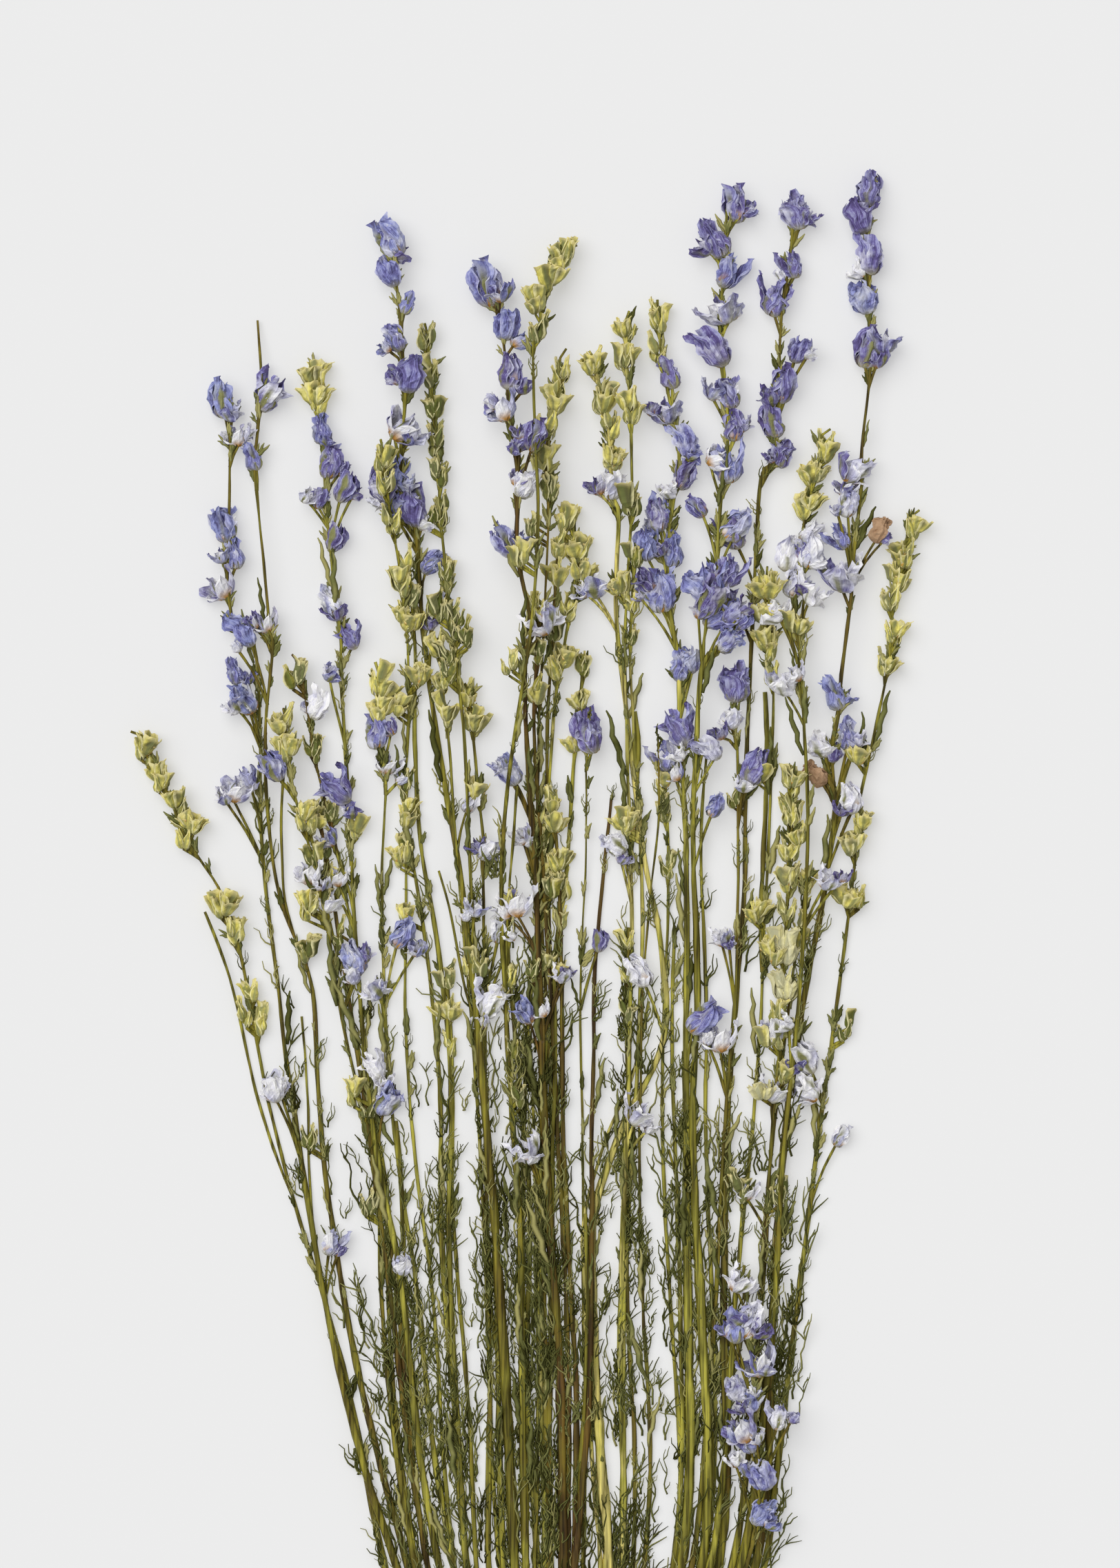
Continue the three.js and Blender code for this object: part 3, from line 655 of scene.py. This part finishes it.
petalSpec = {  # a full floret: outer sepals and a few small petals inside them
    "petals": 6, "length": 16 * mm, "width": 6.4 * mm, "neck": 1.0 * mm,
    "openBase": 72, "openTip": -14, "openSpread": 34,
    "pleat": 1.1 * mm, "folds": 2.6, "crumple": 2.4 * mm, "ragged": 0.22, "taper": 0.42,
    "thickness": 0.14 * mm, "along": 10, "across": 8, "depth": 0.78, "point": 0.22,
    "inner": 4, "innerLength": 0.75, "toMiddle": 6.2,  # millimetres from its foot to its middle
}

budSpec = {  # a bud: ribbed lobes around a cup
    "petals": 4, "length": 10 * mm, "width": 5.0 * mm, "neck": 0.5 * mm,
    "openBase": 64, "openTip": -12, "openSpread": 12,
    "pleat": 0.55 * mm, "folds": 1.6, "crumple": 0.6 * mm, "ragged": 0.08, "taper": 0.22,
    "thickness": 0.26 * mm, "along": 6, "across": 5, "depth": 0.88, "point": 0.05,
    "inner": 0, "innerLength": 0.6,
}

leafSpec = {  # thread leaves in pairs, short tufts, and the narrow bracts below each bloom
    "threadLength": 24 * mm, "threadWidth": 0.5 * mm, "wave": 0.36,
    "tuftLength": 11 * mm, "tuftWidth": 0.42 * mm,
    "bractLength": 9 * mm, "bractWidth": 0.62 * mm,
    "stripLength": 21 * mm, "stripWidth": 0.75 * mm,
    "spread": 0.10,  # radians, from the stem's own direction
    "bareFoot": 90 * mm, "lowest": 1.0 * mm,
    "perSpec": 0.5,  # bundles of leaves, for each that a stalk states
}


def makeBlooms(name, spec, numbers, firstSeed, **changes):
    return [makeBloom(f"{name}{k}", firstSeed + k, spec, **changes) for k in numbers]


def makeLeaves(name, count, firstSeed, **sizes):
    length, width = leafSpec[name + "Length"], leafSpec[name + "Width"]
    return [makeLeaf(f"{name}{k}", firstSeed + k, length, width, **sizes) for k in range(count)]


flowerForms = makeBlooms("flower", petalSpec, range(8), 11)
flowerForms += makeBlooms("flower", petalSpec, range(8, 12), 31, openTip=-26, openSpread=20, width=6.6 * mm)
flowerForms += makeBlooms(
    "flower", petalSpec, range(12, 15), 51, petals=3, inner=3, openTip=14, openSpread=46, length=13 * mm,
)
budForms = makeBlooms(
    "bud", budSpec, range(5), 71, petals=3, openTip=-34, openBase=70, taper=0.06,
    width=6.4 * mm, pleat=0.6 * mm, length=10.5 * mm,
)
for k in range(5, 7):
    budForms += makeBlooms("bud", budSpec, [k], 71, petals=4 + k % 2, ragged=0.25)
budForms += makeBlooms(
    "bud", budSpec, range(7, 10), 81, openTip=14, inner=2, length=9 * mm, ragged=0.35, crumple=1.2 * mm,
)
leafForms = makeLeaves("thread", 8, 91, blades=1, steps=9, spread=0.10, wave=leafSpec["wave"], prongs=3)
leafForms += makeLeaves("tuft", 5, 111, blades=4, steps=4, spread=0.42, wave=0.5)
leafForms += makeLeaves("bract", 5, 131, blades=2, steps=5, spread=0.35, wave=0.3, sides=4, flat=0.35)
leafForms += makeLeaves("strip", 4, 151, blades=1, steps=8, spread=0.16, wave=0.30, sides=4, flat=0.4)
formRange = {  # number of the first form of each kind, and how many there are
    "fullFlower": (0, 12), "looseFlower": (12, 3), "closedBud": (0, 7), "anyBud": (0, 10),
    "thread": (0, 8), "tuft": (8, 5), "bract": (13, 5), "tuftOrBract": (8, 10), "strip": (18, 4),
}


def pickForm(rng, kind):
    first, count = formRange[kind]
    return first + rng.randrange(count)


flowerGroup = formCollection("flowerForms", flowerForms)
budGroup = formCollection("budForms", budForms)
leafGroup = formCollection("leafForms", leafForms)
stemTree = growStemsTree()
placeTree = setOnStalkTree()
print("forms made")


class Scatter:  # points that one kind of form is set on, with its turn, size and tones
    def __init__(self):
        self.rows = []

    def add(self, place, heading, size, form, tones, spin=0.0):
        up = Vector((0, 0, 1))
        along = heading.normalized()
        over = (up - along * up.dot(along)).normalized()
        side = along.cross(over)
        basis = Matrix((over, side, along)).transposed()
        turned = basis @ Matrix.Rotation(spin, 3, "Z")
        self.rows.append((place, tuple(turned.to_euler()), size, form, tones))

    def grow(self, name, group, material):
        obj = seedObject(name + "_seeds", [row[0] for row in self.rows])
        storeValues(obj, "turn", "FLOAT_VECTOR", [row[1] for row in self.rows])
        storeValues(obj, "size", "FLOAT_VECTOR", [row[2] for row in self.rows])
        storeValues(obj, "form", "INT", [row[3] for row in self.rows])
        for k, key in enumerate(("tone", "pale", "tan")):
            storeValues(obj, key, "FLOAT", [row[4][k] for row in self.rows])
        return runTree(obj, placeTree, name, Forms=group, Material=material)


def directionAt(line, y):
    return (pointAt(line, y + 4 * mm) - pointAt(line, y - 4 * mm)).normalized()


def leafHeading(rng, line, y, spread):
    aside = Matrix.Rotation(rng.gauss(0, spread), 3, "Z")
    return (aside @ directionAt(line, y) + Vector((0, 0, rng.uniform(-0.05, 0.12)))).normalized()


flowerTones = {  # tone 0 violet to 1 blue, paleness, tan
    "b": (0.80, 0.18, 0.0), "v": (0.22, 0.06, 0.0), "p": (0.55, 0.36, 0.0),
    "w": (0.80, 0.70, 0.0), "t": (0.30, 0.30, 1.0),
}
budTones = {  # tone 0 green to 1 yellow, paleness, tan
    "y": (0.80, 0.10, 0.0), "g": (0.12, 0.0, 0.0), "c": (0.9, 0.55, 0.0),
}


def setFlower(rng, parts, joint, centre, size, kind, loose=False):
    heading = (centre - joint).normalized()
    heading = (heading + Vector((rng.gauss(0, 0.45), rng.uniform(-0.3, 0.1), rng.uniform(0, 0.25)))).normalized()
    base = centre - heading * petalSpec["toMiddle"] * mm * size
    tone, pale, tan = flowerTones[kind]
    tones = (tone + rng.uniform(-0.18, 0.18), pale + rng.uniform(-0.1, 0.12), tan)
    loose = loose or (kind in "wp" and rng.random() < 0.6)
    form = pickForm(rng, "looseFlower" if loose else "fullFlower")
    scale = size * rng.uniform(0.95, 1.12)
    spin = rng.choice((0, pi)) + rng.uniform(-0.6, 0.6)
    parts["flowers"].add(base, heading, (0.98 * scale, 0.98 * scale, 1.04 * scale), form, tones, spin)
    parts["twigs"].append((joint, (joint + base) / 2 + Vector((0, 1.5 * mm, 0)), base + heading * 1.5 * mm))


def setBuds(rng, parts, line, centre, size, kind):
    count = 4 if size > 0.6 else 3
    tone, pale, tan = budTones[kind]
    for k in range(count):
        turn = (k + 0.5 + rng.uniform(-0.15, 0.15)) / count * 2 * pi
        aside = Vector((cos(turn), 0, 0.55 * sin(turn) + 0.2))
        heading = (Vector((0, 1, 0)) + aside * rng.uniform(0.15, 0.5)).normalized()
        axis = pointAt(line, centre.y - rng.uniform(2.5, 8) * mm)
        base = axis.lerp(Vector((centre.x, axis.y, centre.z)), 0.6) + aside * 1.3 * mm * size
        scale = rng.uniform(0.78, 1.06) * (0.7 + 0.4 * size)
        tones = (tone + rng.uniform(-0.3, 0.2), pale + rng.uniform(0, 0.1), tan)
        form = pickForm(rng, "anyBud" if kind != "g" else "closedBud")
        parts["buds"].add(base, heading, (scale,) * 3, form, tones, rng.uniform(0, 2 * pi))
        parts["twigs"].append((pointAt(line, base.y - 3 * mm), base))


def addLeaf(rng, parts, line, y, spread, tone, size, kind):
    heading = leafHeading(rng, line, y, spread)
    tones = (rng.uniform(*tone), 0, 0)
    parts["leaves"].add(pointAt(line, y), heading, (rng.uniform(*size),) * 3, pickForm(rng, kind), tones)


def dress(rng, parts, line, centre, size, kind, reach=0.0):  # one floret or cluster of buds, with its bracts
    if kind in flowerTones:
        joint = pointAt(line, centre.y - (9 + 3 * size + reach) * mm)
        setFlower(rng, parts, joint, centre, size, kind)
        if size > 0.6 and rng.random() < 0.75:  # a loose petal folded beside it
            aside = Vector((rng.choice((-1, 1)) * rng.uniform(2.5, 5), rng.uniform(-6, 3), rng.uniform(-1, 2))) * mm
            setFlower(rng, parts, joint, centre + aside, size * 0.65, rng.choice((kind, kind, "w", "v")), loose=True)
    else:
        setBuds(rng, parts, line, centre, size, kind)
    for _ in range(6):  # bracts below it
        y = centre.y - 7 * mm * size * rng.uniform(0.0, 2.1)
        addLeaf(rng, parts, line, y, 0.34, (0.35, 1.15), (0.5, 0.95), "bract")


# What grows on each stalk's spike, tip first: b blue, v violet, p pale lavender, w white,
# t tan, y yellow bud, g green bud, c cream bud. leaves is how many along the bare stem.
stalkSpec = {
    "01": {"blooms": "yyyyyy", "leaves": 2, "tone": 0.45},
    "02": {"blooms": "bpbbpb", "leaves": 4, "tone": 0.40},
    "03": {"blooms": "pbp", "leaves": 6, "tone": 0.35},
    "04": {"blooms": "yybvpvwv", "leaves": 8, "tone": 0.62},
    "05": {"blooms": "bbbbvpbb", "leaves": 10, "tone": 0.42},
    "06": {"blooms": "gggggggg", "leaves": 18, "tone": 0.55},
    "07": {"blooms": "yyyyy", "leaves": 24, "tone": 0.55},
    "08": {"blooms": "yybw", "leaves": 20, "tone": 0.68},
    "09": {"blooms": "gwgg", "leaves": 16, "tone": 0.22},
    "10": {"blooms": "yybyww", "leaves": 18, "tone": 0.45},
    "11": {"blooms": "bbvpvwbw", "leaves": 30, "tone": 0.15},
    "12": {"blooms": "yyyg", "leaves": 26, "tone": 0.50},
    "13": {"blooms": "yyyyg", "leaves": 26, "tone": 0.30},
    "14": {"blooms": "yyyyy", "leaves": 24, "tone": 0.75},
    "15": {"blooms": "yyyyw", "leaves": 12, "tone": 0.95},
    "16": {"blooms": "yyyg", "leaves": 20, "tone": 0.80},
    "17": {"blooms": "yyvpbvbbbbv", "leaves": 26, "tone": 0.65},
    "18": {"blooms": "", "leaves": 12, "tone": 0.35},
    "19": {"blooms": "vvbpvpvbbbbb", "leaves": 16, "tone": 0.62},
    "20": {"blooms": "vw", "leaves": 9, "tone": 0.40},
    "21": {"blooms": "vvvvvv", "leaves": 10, "tone": 0.35},
    "22": {"blooms": "yyyy", "leaves": 10, "tone": 0.62},
    "23": {"blooms": "yyywwwy", "leaves": 10, "tone": 0.50},
    "24": {"blooms": "vvvbvppbt", "leaves": 12, "tone": 0.30},
    "25": {"blooms": "yyyyyyyy", "leaves": 8, "tone": 0.50},
    "26": {"blooms": "yyyyyccyw", "leaves": 6, "tone": 0.45},
    "27": {"blooms": "wwpbbbb", "leaves": 2, "tone": 0.35},
    "28": {"blooms": "v", "leaves": 6, "tone": 0.45},
    "29": {"blooms": "yyyw", "leaves": 10, "tone": 0.45},
    "30": {"blooms": "", "leaves": 4, "tone": 0.05},
}


def growStalk(name):
    spec = stalkSpec[name]
    stalk = stalks[name]
    line, rng = stalk["line"], Random(int(name) * 7 + 1)
    parts = {"flowers": Scatter(), "buds": Scatter(), "leaves": Scatter(), "twigs": [], "branches": []}
    for (centre, half), kind in zip(stalk["blooms"], spec["blooms"]):
        dress(rng, parts, line, centre, (half / (7 * mm)) ** 0.75, kind)
    for centre, size, kind in stalk["shoots"]:
        dress(rng, parts, line, centre, size, kind, reach=rng.uniform(3, 16))
    low, high = line[0].y + leafSpec["bareFoot"], (stalk["foot"] if stalk["blooms"] else line[-1].y)
    for _ in range(int(spec["leaves"] * leafSpec["perSpec"])):
        share = rng.random()
        y = low + (high - low) * (0.8 * share if rng.random() < 0.25 else 0.06 + 0.55 * share)
        side = rng.choice((-1, 1)) * rng.uniform(0.5, 2.6) * mm
        for _ in range(rng.randint(2, 7)):
            thread = rng.random() < (0.75 if share < 0.5 else 0.12)
            heading = leafHeading(rng, line, y, leafSpec["spread"] * (1 if thread else 1.8))
            spot = pointAt(line, y + rng.uniform(-5, 5) * mm) + Vector((side + rng.gauss(0, 0.9) * mm, 0, 0))
            spot.z = max(spot.z - rng.choice((0, 5, 8, 11)) * mm, leafSpec["lowest"])
            tones = (rng.triangular(0.0, 1.0, 0.4), 0, 0)
            form = pickForm(rng, "thread" if thread else "tuft")
            parts["leaves"].add(spot, heading, (rng.uniform(0.55, 1.15),) * 3, form, tones)
    y = low
    while y < high:  # a bract at some of the old joints
        y += rng.choice((4, 9, 14, 26, 38)) * mm * rng.uniform(0.7, 1.3)
        heading, size = leafHeading(rng, line, y, 0.22), rng.uniform(0.5, 1.1)
        form, tones = pickForm(rng, "tuftOrBract"), (rng.uniform(0.3, 1.05), 0, 0)
        parts["leaves"].add(pointAt(line, y), heading, (size,) * 3, form, tones)
    for _ in range(spec["leaves"] // 2):  # narrow strips of old leaf along the upper stalk
        y = low + (line[-1].y - low) * rng.uniform(0.25, 0.85)
        addLeaf(rng, parts, line, y, 0.13, (0.35, 1.1), (0.5, 1.2), "strip")
    for _ in range(spec["leaves"] // branchSpec["leavesEach"]):
        sideBranch(rng, parts, line)
    for y, across in stalk["leafSpots"]:
        spot = pointAt(line, y) + Vector((across, 0, rng.choice((-11, -8, -5, 1)) * mm))
        spot.z = max(spot.z, leafSpec["lowest"])
        heading = leafHeading(rng, line, y, 0.22)
        form = pickForm(rng, "thread" if rng.random() < 0.75 else "tuft")
        size, tones = rng.uniform(0.6, 1.1), (rng.triangular(0.1, 1.0, 0.5), 0, 0)
        parts["leaves"].add(spot, heading, (size,) * 3, form, tones)
    return stalk, parts


shootSpec = {  # florets and buds beside a stalk's own spike, by shares of its length
    "perBloom": 0.85, "along": (0.50, 0.97, 0.80), "aside": (3 * mm, 9 * mm),
    "size": (0.55, 0.95), "budSize": (0.4, 0.75),
    "fadedBelow": 0.72, "faded": "wwwwwgggypb",  # kinds low on a stalk, where the colour has gone
}

mattedSpec = {  # thread leaves that lie thick in the middle of the bunch
    "perLeaf": 2.1, "along": (0.22, 0.68, 0.45), "aside": 9 * mm,
}


def addShoots(rng, name, stalk):  # the places of its side shoots and its matted leaves
    spec, line = stalkSpec[name], stalk["line"]
    foot, tip = line[0].y, line[-1].y
    for _ in range(round(shootSpec["perBloom"] * len(spec["blooms"]))):
        share = rng.triangular(*shootSpec["along"])
        kind = rng.choice(shootSpec["faded"] if share < shootSpec["fadedBelow"] else spec["blooms"])
        size = rng.uniform(*shootSpec["size" if kind in flowerTones else "budSize"])
        here = pointAt(line, foot + share * (tip - foot))
        aside = rng.choice((-1, 1)) * rng.uniform(*shootSpec["aside"])
        centre = Vector((here.x + aside, here.y, max(here.z + rng.uniform(0, 3) * mm, 5 * mm * size)))
        stalk["shoots"].append((centre, size, kind))
    for _ in range(round(mattedSpec["perLeaf"] * spec["leaves"])):
        y = foot + rng.triangular(*mattedSpec["along"]) * (tip - foot)
        stalk["leafSpots"].append((y, rng.triangular(-mattedSpec["aside"], mattedSpec["aside"])))


branchSpec = {  # side branches, most with their tips off
    "leavesEach": 11, "half": (0.70 * mm, 1.15 * mm), "aside": (2.5 * mm, 7.5 * mm), "budded": 0.7,
    "from": (110 * mm, 230 * mm), "to": (360 * mm, 575 * mm), "steps": 10, "taper": 0.45,
}


def sideBranch(rng, parts, line):  # leaves the stalk low down and runs up beside it
    foot, tip = line[0].y, line[-1].y
    start = foot + rng.uniform(*branchSpec["from"])
    end = min(foot + rng.uniform(*branchSpec["to"]), tip - 40 * mm)
    aside = rng.choice((-1, 1)) * rng.uniform(*branchSpec["aside"])
    half = rng.uniform(*branchSpec["half"])
    points = []
    for k in range(branchSpec["steps"] + 1):
        share = k / branchSpec["steps"]
        here = pointAt(line, start + (end - start) * share)
        drift = aside * sin(min(1, share * 1.6) * pi / 2) + 1.5 * mm * sin(share * 9 + aside * 900) * share
        points.append(here + Vector((drift, 0, 0)))
        points[-1].z = max(here.z - 1.5 * mm * min(1, share * 4), half)
    y = start + 0.35 * (end - start)
    while y < end:
        addLeaf(rng, parts, points, y, 0.22, (0.3, 1.05), (0.5, 1.1), "tuftOrBract")
        y += rng.choice((4, 8, 14, 24)) * mm * rng.uniform(0.7, 1.3)
    if rng.random() < branchSpec["budded"]:
        for back in (0, rng.uniform(9, 14) * mm, rng.uniform(19, 30) * mm):
            setBuds(rng, parts, points, pointAt(points, end - back), rng.uniform(0.35, 0.6), rng.choice("yyg"))
    widths = [half * (1 - branchSpec["taper"] * k / branchSpec["steps"]) for k in range(len(points))]
    parts["branches"].append((points, widths))


def chained(lines):  # the points of several open lines, and the edges along each
    points, edges = [], []
    for line in lines:
        edges += [(len(points) + k, len(points) + k + 1) for k in range(len(line) - 1)]
        points += line
    return points, edges


def growLines(name, pieceName, lines, widths, tone):
    points, edges = chained(lines)
    obj = seedObject(name, points, edges)
    storeValues(obj, "thick", "FLOAT", [width for row in widths for width in row])
    storeValues(obj, "tone", "FLOAT", [tone] * len(points))
    return runTree(obj, stemTree, pieceName, Material=materials["stem"])


def finishPiece(piece, slotName, *nodes, smooth=True):
    smoothFaces(piece.data, smooth)
    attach(piece, "root")
    if nodes:
        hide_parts(*nodes)


bloomKinds = (
    ("flowers", "florets_", flowerGroup, "petal", "petal_blue"),
    ("buds", "buds_", budGroup, "bud", "bud_yellow"),
)
stalks = {name: readStalk(name) for name in sorted(stalkSpec)}
for name in stalks:
    addShoots(Random(500 + int(name)), name, stalks[name])
    stalk, parts = growStalk(name)
    spike = ["spike_" + name] if stalk["blooms"] else []
    lines = [stalk["line"], *parts["twigs"], *(line for line, _ in parts["branches"])]
    widths = [stalk["widths"], *(stemSpec["pedicel"][:len(twig)] for twig in parts["twigs"])]
    widths += [row for _, row in parts["branches"]]
    stem = growLines(name + "_line", "stalk_" + name, lines, widths, stalkSpec[name]["tone"])
    finishPiece(stem, "stem", "stem_" + name)
    for key, title, group, finish, slot in bloomKinds:
        if parts[key].rows:
            blooms = parts[key].grow(title + name, group, materials[finish])
            finishPiece(blooms, slot, *spike, smooth=False)
    finishPiece(parts["leaves"].grow("leaves_" + name, leafGroup, materials["leaf"]), "leaf")


twigSpec = {  # thin twigs that leave a stalk and end free
    "count": 14, "from": (0.40, 0.86), "length": (25 * mm, 110 * mm),
    "aside": (2 * mm, 8 * mm), "half": (0.4 * mm, 0.8 * mm), "steps": 5, "tone": 0.5,
}


def twigLine(rng, line):
    y = line[0].y + rng.uniform(*twigSpec["from"]) * (line[-1].y - line[0].y)
    length, half = rng.uniform(*twigSpec["length"]), rng.uniform(*twigSpec["half"])
    aside = rng.choice((-1, 1)) * rng.uniform(*twigSpec["aside"])
    points = []
    for k in range(twigSpec["steps"] + 1):
        share = k / twigSpec["steps"]
        here = pointAt(line, min(y + length * k / twigSpec["steps"], line[-1].y))
        place = here + Vector((aside * share ** 0.8 + 0.6 * mm * sin(5 * k), 0, 0))
        place.z = max(place.z - 0.5 * mm, half)
        points.append(place)
    return points, [half] * len(points)


twigRng = Random(9)
twigs = [twigLine(twigRng, stalks[name]["line"]) for name in twigRng.sample(sorted(stalks), twigSpec["count"])]
finishPiece(growLines("side_twigs_line", "side_twigs", *zip(*twigs), twigSpec["tone"]), "stem")


twineSpec = {
    "radius": 0.95 * mm, "turns": 4, "step": 0.45 * mm, "twistLength": 4.2 * mm, "plies": 3, "plyDepth": 0.16,
    "knotHalf": 3.1 * mm, "tail": 8 * mm, "slack": 0.1 * mm,
}


def windTwineTree():  # one strand of three plies, twisted as it runs
    tree, start = newTree("windTwine", [
        ("Step", "Float", twineSpec["step"]),
        ("Twine Radius", "Float", twineSpec["radius"]),
        ("Twist Length", "Float", twineSpec["twistLength"]),
        ("Ply Depth", "Float", twineSpec["plyDepth"]),
    ])
    along = addNode(tree, "GeometryNodeSplineParameter").outputs
    angle = maths(tree, "MULTIPLY", maths(tree, "DIVIDE", along["Length"], start["Twist Length"]), 2 * pi)
    tilted = addNode(tree, "GeometryNodeSetCurveTilt", {"Curve": smoothLine(tree, start), "Tilt": angle})
    bulge = maths(tree, "COSINE", maths(tree, "MULTIPLY", along["Factor"], twineSpec["plies"] * 2 * pi))
    depth = maths(tree, "MULTIPLY", bulge, start["Ply Depth"])
    plyScale = maths(tree, "ADD", depth, 1 - twineSpec["plyDepth"])
    return coated(tree, start, swept(tree, tilted, start["Twine Radius"], plyScale, 1.0))


tieCorners = [vertex.co.copy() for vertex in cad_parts["twine_tie"].data.vertices]
tieFoot, tieTop = min(co.y for co in tieCorners), max(co.y for co in tieCorners)
radius, turns = twineSpec["radius"], twineSpec["turns"]
ridgeY = tieFoot + radius
around = [co for co in tieCorners if abs(co.y - ridgeY) < 0.02 * mm]
hub = Vector((
    (min(co.x for co in around) + max(co.x for co in around)) / 2, 0,
    (min(co.z for co in around) + max(co.z for co in around)) / 2,
))


def windingLine():
    outline = {}
    for co in around:  # the outermost corner in each direction from the middle
        angle = round(np.arctan2(co.z - hub.z, co.x - hub.x), 2)
        spoke = hypot(co.x - hub.x, co.z - hub.z)
        outline[angle] = max(spoke, outline.get(angle, 0))
    angles = sorted(outline)
    spokes = [outline[angle] + twineSpec["slack"] for angle in angles]
    points = []
    steps = 36
    for k in range(turns * steps + 1):
        angle = (0.4 + k / steps) * 2 * pi
        spoke = float(np.interp((angle + pi) % (2 * pi) - pi, angles, spokes, period=2 * pi))
        y = ridgeY + (turns - 1) * 2 * radius * k / (turns * steps)
        points.append(Vector((hub.x + spoke * cos(angle), y, max(hub.z + spoke * sin(angle), 1.2 * radius))))
    return points


def twineKnot(x, z, y):  # two strands that cross on top, each ending in a short tail, and a loop round them
    half, tail = twineSpec["knotHalf"], twineSpec["tail"]
    strands = []
    for side in (-1, 1):
        lift = 0.9 * radius * side
        strands.append([
            Vector((x - side * 1.6 * half, y - 1.3 * half, z - 1.2 * radius)),
            Vector((x - side * 0.9 * half, y - 0.8 * half, z + 0.2 * radius)),
            Vector((x, y + side * 0.1 * half, z + 0.9 * radius + lift)),
            Vector((x + side * 0.8 * half, y + 0.8 * half, z + 0.9 * radius)),
            Vector((x + side * 0.7 * tail, y + 1.0 * tail, z + 0.5 * radius)),
            Vector((x + side * 1.0 * tail, tieTop - radius, z - 0.1 * radius)),
        ])
    loop = []
    for k in range(12):
        a = 2 * pi * k / 12
        rise = 0.7 * radius + 1.7 * radius * cos(a)
        loop.append(Vector((x + 0.95 * half * sin(a), y + 0.35 * half * cos(a) * sin(a), z + rise)))
    return [*strands, loop]


knotTop = max(tieCorners, key=lambda co: co.z)
highest = max(around, key=lambda co: co.z)
strands = [windingLine()] + twineKnot(knotTop.x, highest.z, ridgeY + (turns - 1) * radius)
tiePoints, tieEdges = chained(strands)
tieEdges.append((len(tiePoints) - 1, len(tiePoints) - len(strands[-1])))  # the loop is closed
tieSeeds = seedObject("twine_line", tiePoints, tieEdges)
wound = runTree(tieSeeds, windTwineTree(), "twine_wound", Material=materials["twine"])
finishPiece(wound, "twine", "twine_tie")
print("tie wound")


look = {  # camera, floor and light
    "seenHeight": 546 * mm,  # stretch of surface in view, top to bottom
    "aboveTips": 61.8 * mm,  # bare surface above the tallest tip
    "leftOfFan": 43.7 * mm,  # bare surface left of the fan
    "cameraHeight": 1.9,
    "floorColour": (0.482, 0.482, 0.482),
    "floorGlow": 0.36,  # as on a light table
    "sunStrength": 2.15,
    "sunSoftness": 62,  # degrees
    "sunTowards": (0.42, -0.38, -1.0),
    "skyStrength": 0.40,
    "imageShape": (1624, 2274), "sensor": 24, "floorReach": 3.0,
}


def floorMaterial():
    material = bpy.data.materials.new("paleFloor")
    material.use_nodes = True
    sockets = material.node_tree.nodes["Principled BSDF"].inputs
    sockets["Base Color"].default_value = (*look["floorColour"], 1)
    sockets["Roughness"].default_value = 0.95
    sockets["Specular IOR Level"].default_value = 0.1
    sockets["Emission Color"].default_value = (1, 1, 1, 1)
    sockets["Emission Strength"].default_value = look["floorGlow"]
    return material


reach = look["floorReach"]
floorMesh = bpy.data.meshes.new("floor")
floorCorners = [(-reach, -reach, 0), (reach, -reach, 0), (reach, reach, 0), (-reach, reach, 0)]
floorMesh.from_pydata(floorCorners, [], [(0, 1, 2, 3)])
floorMesh.materials.append(floorMaterial())
placed("floor", floorMesh)

sun = bpy.data.lights.new("softLight", "SUN")
sun.energy = look["sunStrength"]
sun.angle = radians(look["sunSoftness"])
sunObject = placed("softLight", sun)
sunObject.rotation_euler = Vector(look["sunTowards"]).to_track_quat("-Z", "Y").to_euler()

world = bpy.data.worlds.new("studio")
world.use_nodes = True
world.node_tree.nodes["Background"].inputs[0].default_value = (1, 1, 1, 1)
world.node_tree.nodes["Background"].inputs[1].default_value = look["skyStrength"]
bpy.context.scene.world = world
bpy.context.scene.view_settings.view_transform = "Standard"

low, high = cadBox
camera = bpy.data.cameras.new("camera")
camera.sensor_fit = "VERTICAL"
camera.sensor_height = look["sensor"]
camera.lens = look["sensor"] * look["cameraHeight"] / look["seenHeight"]
cameraObject = placed("camera", camera)
seenWidth = look["seenHeight"] * look["imageShape"][0] / look["imageShape"][1]
cameraObject.location = (
    low[0] - look["leftOfFan"] + seenWidth / 2,
    high[1] + look["aboveTips"] - look["seenHeight"] / 2,
    look["cameraHeight"],
)
bpy.context.scene.camera = cameraObject
print("stage set")
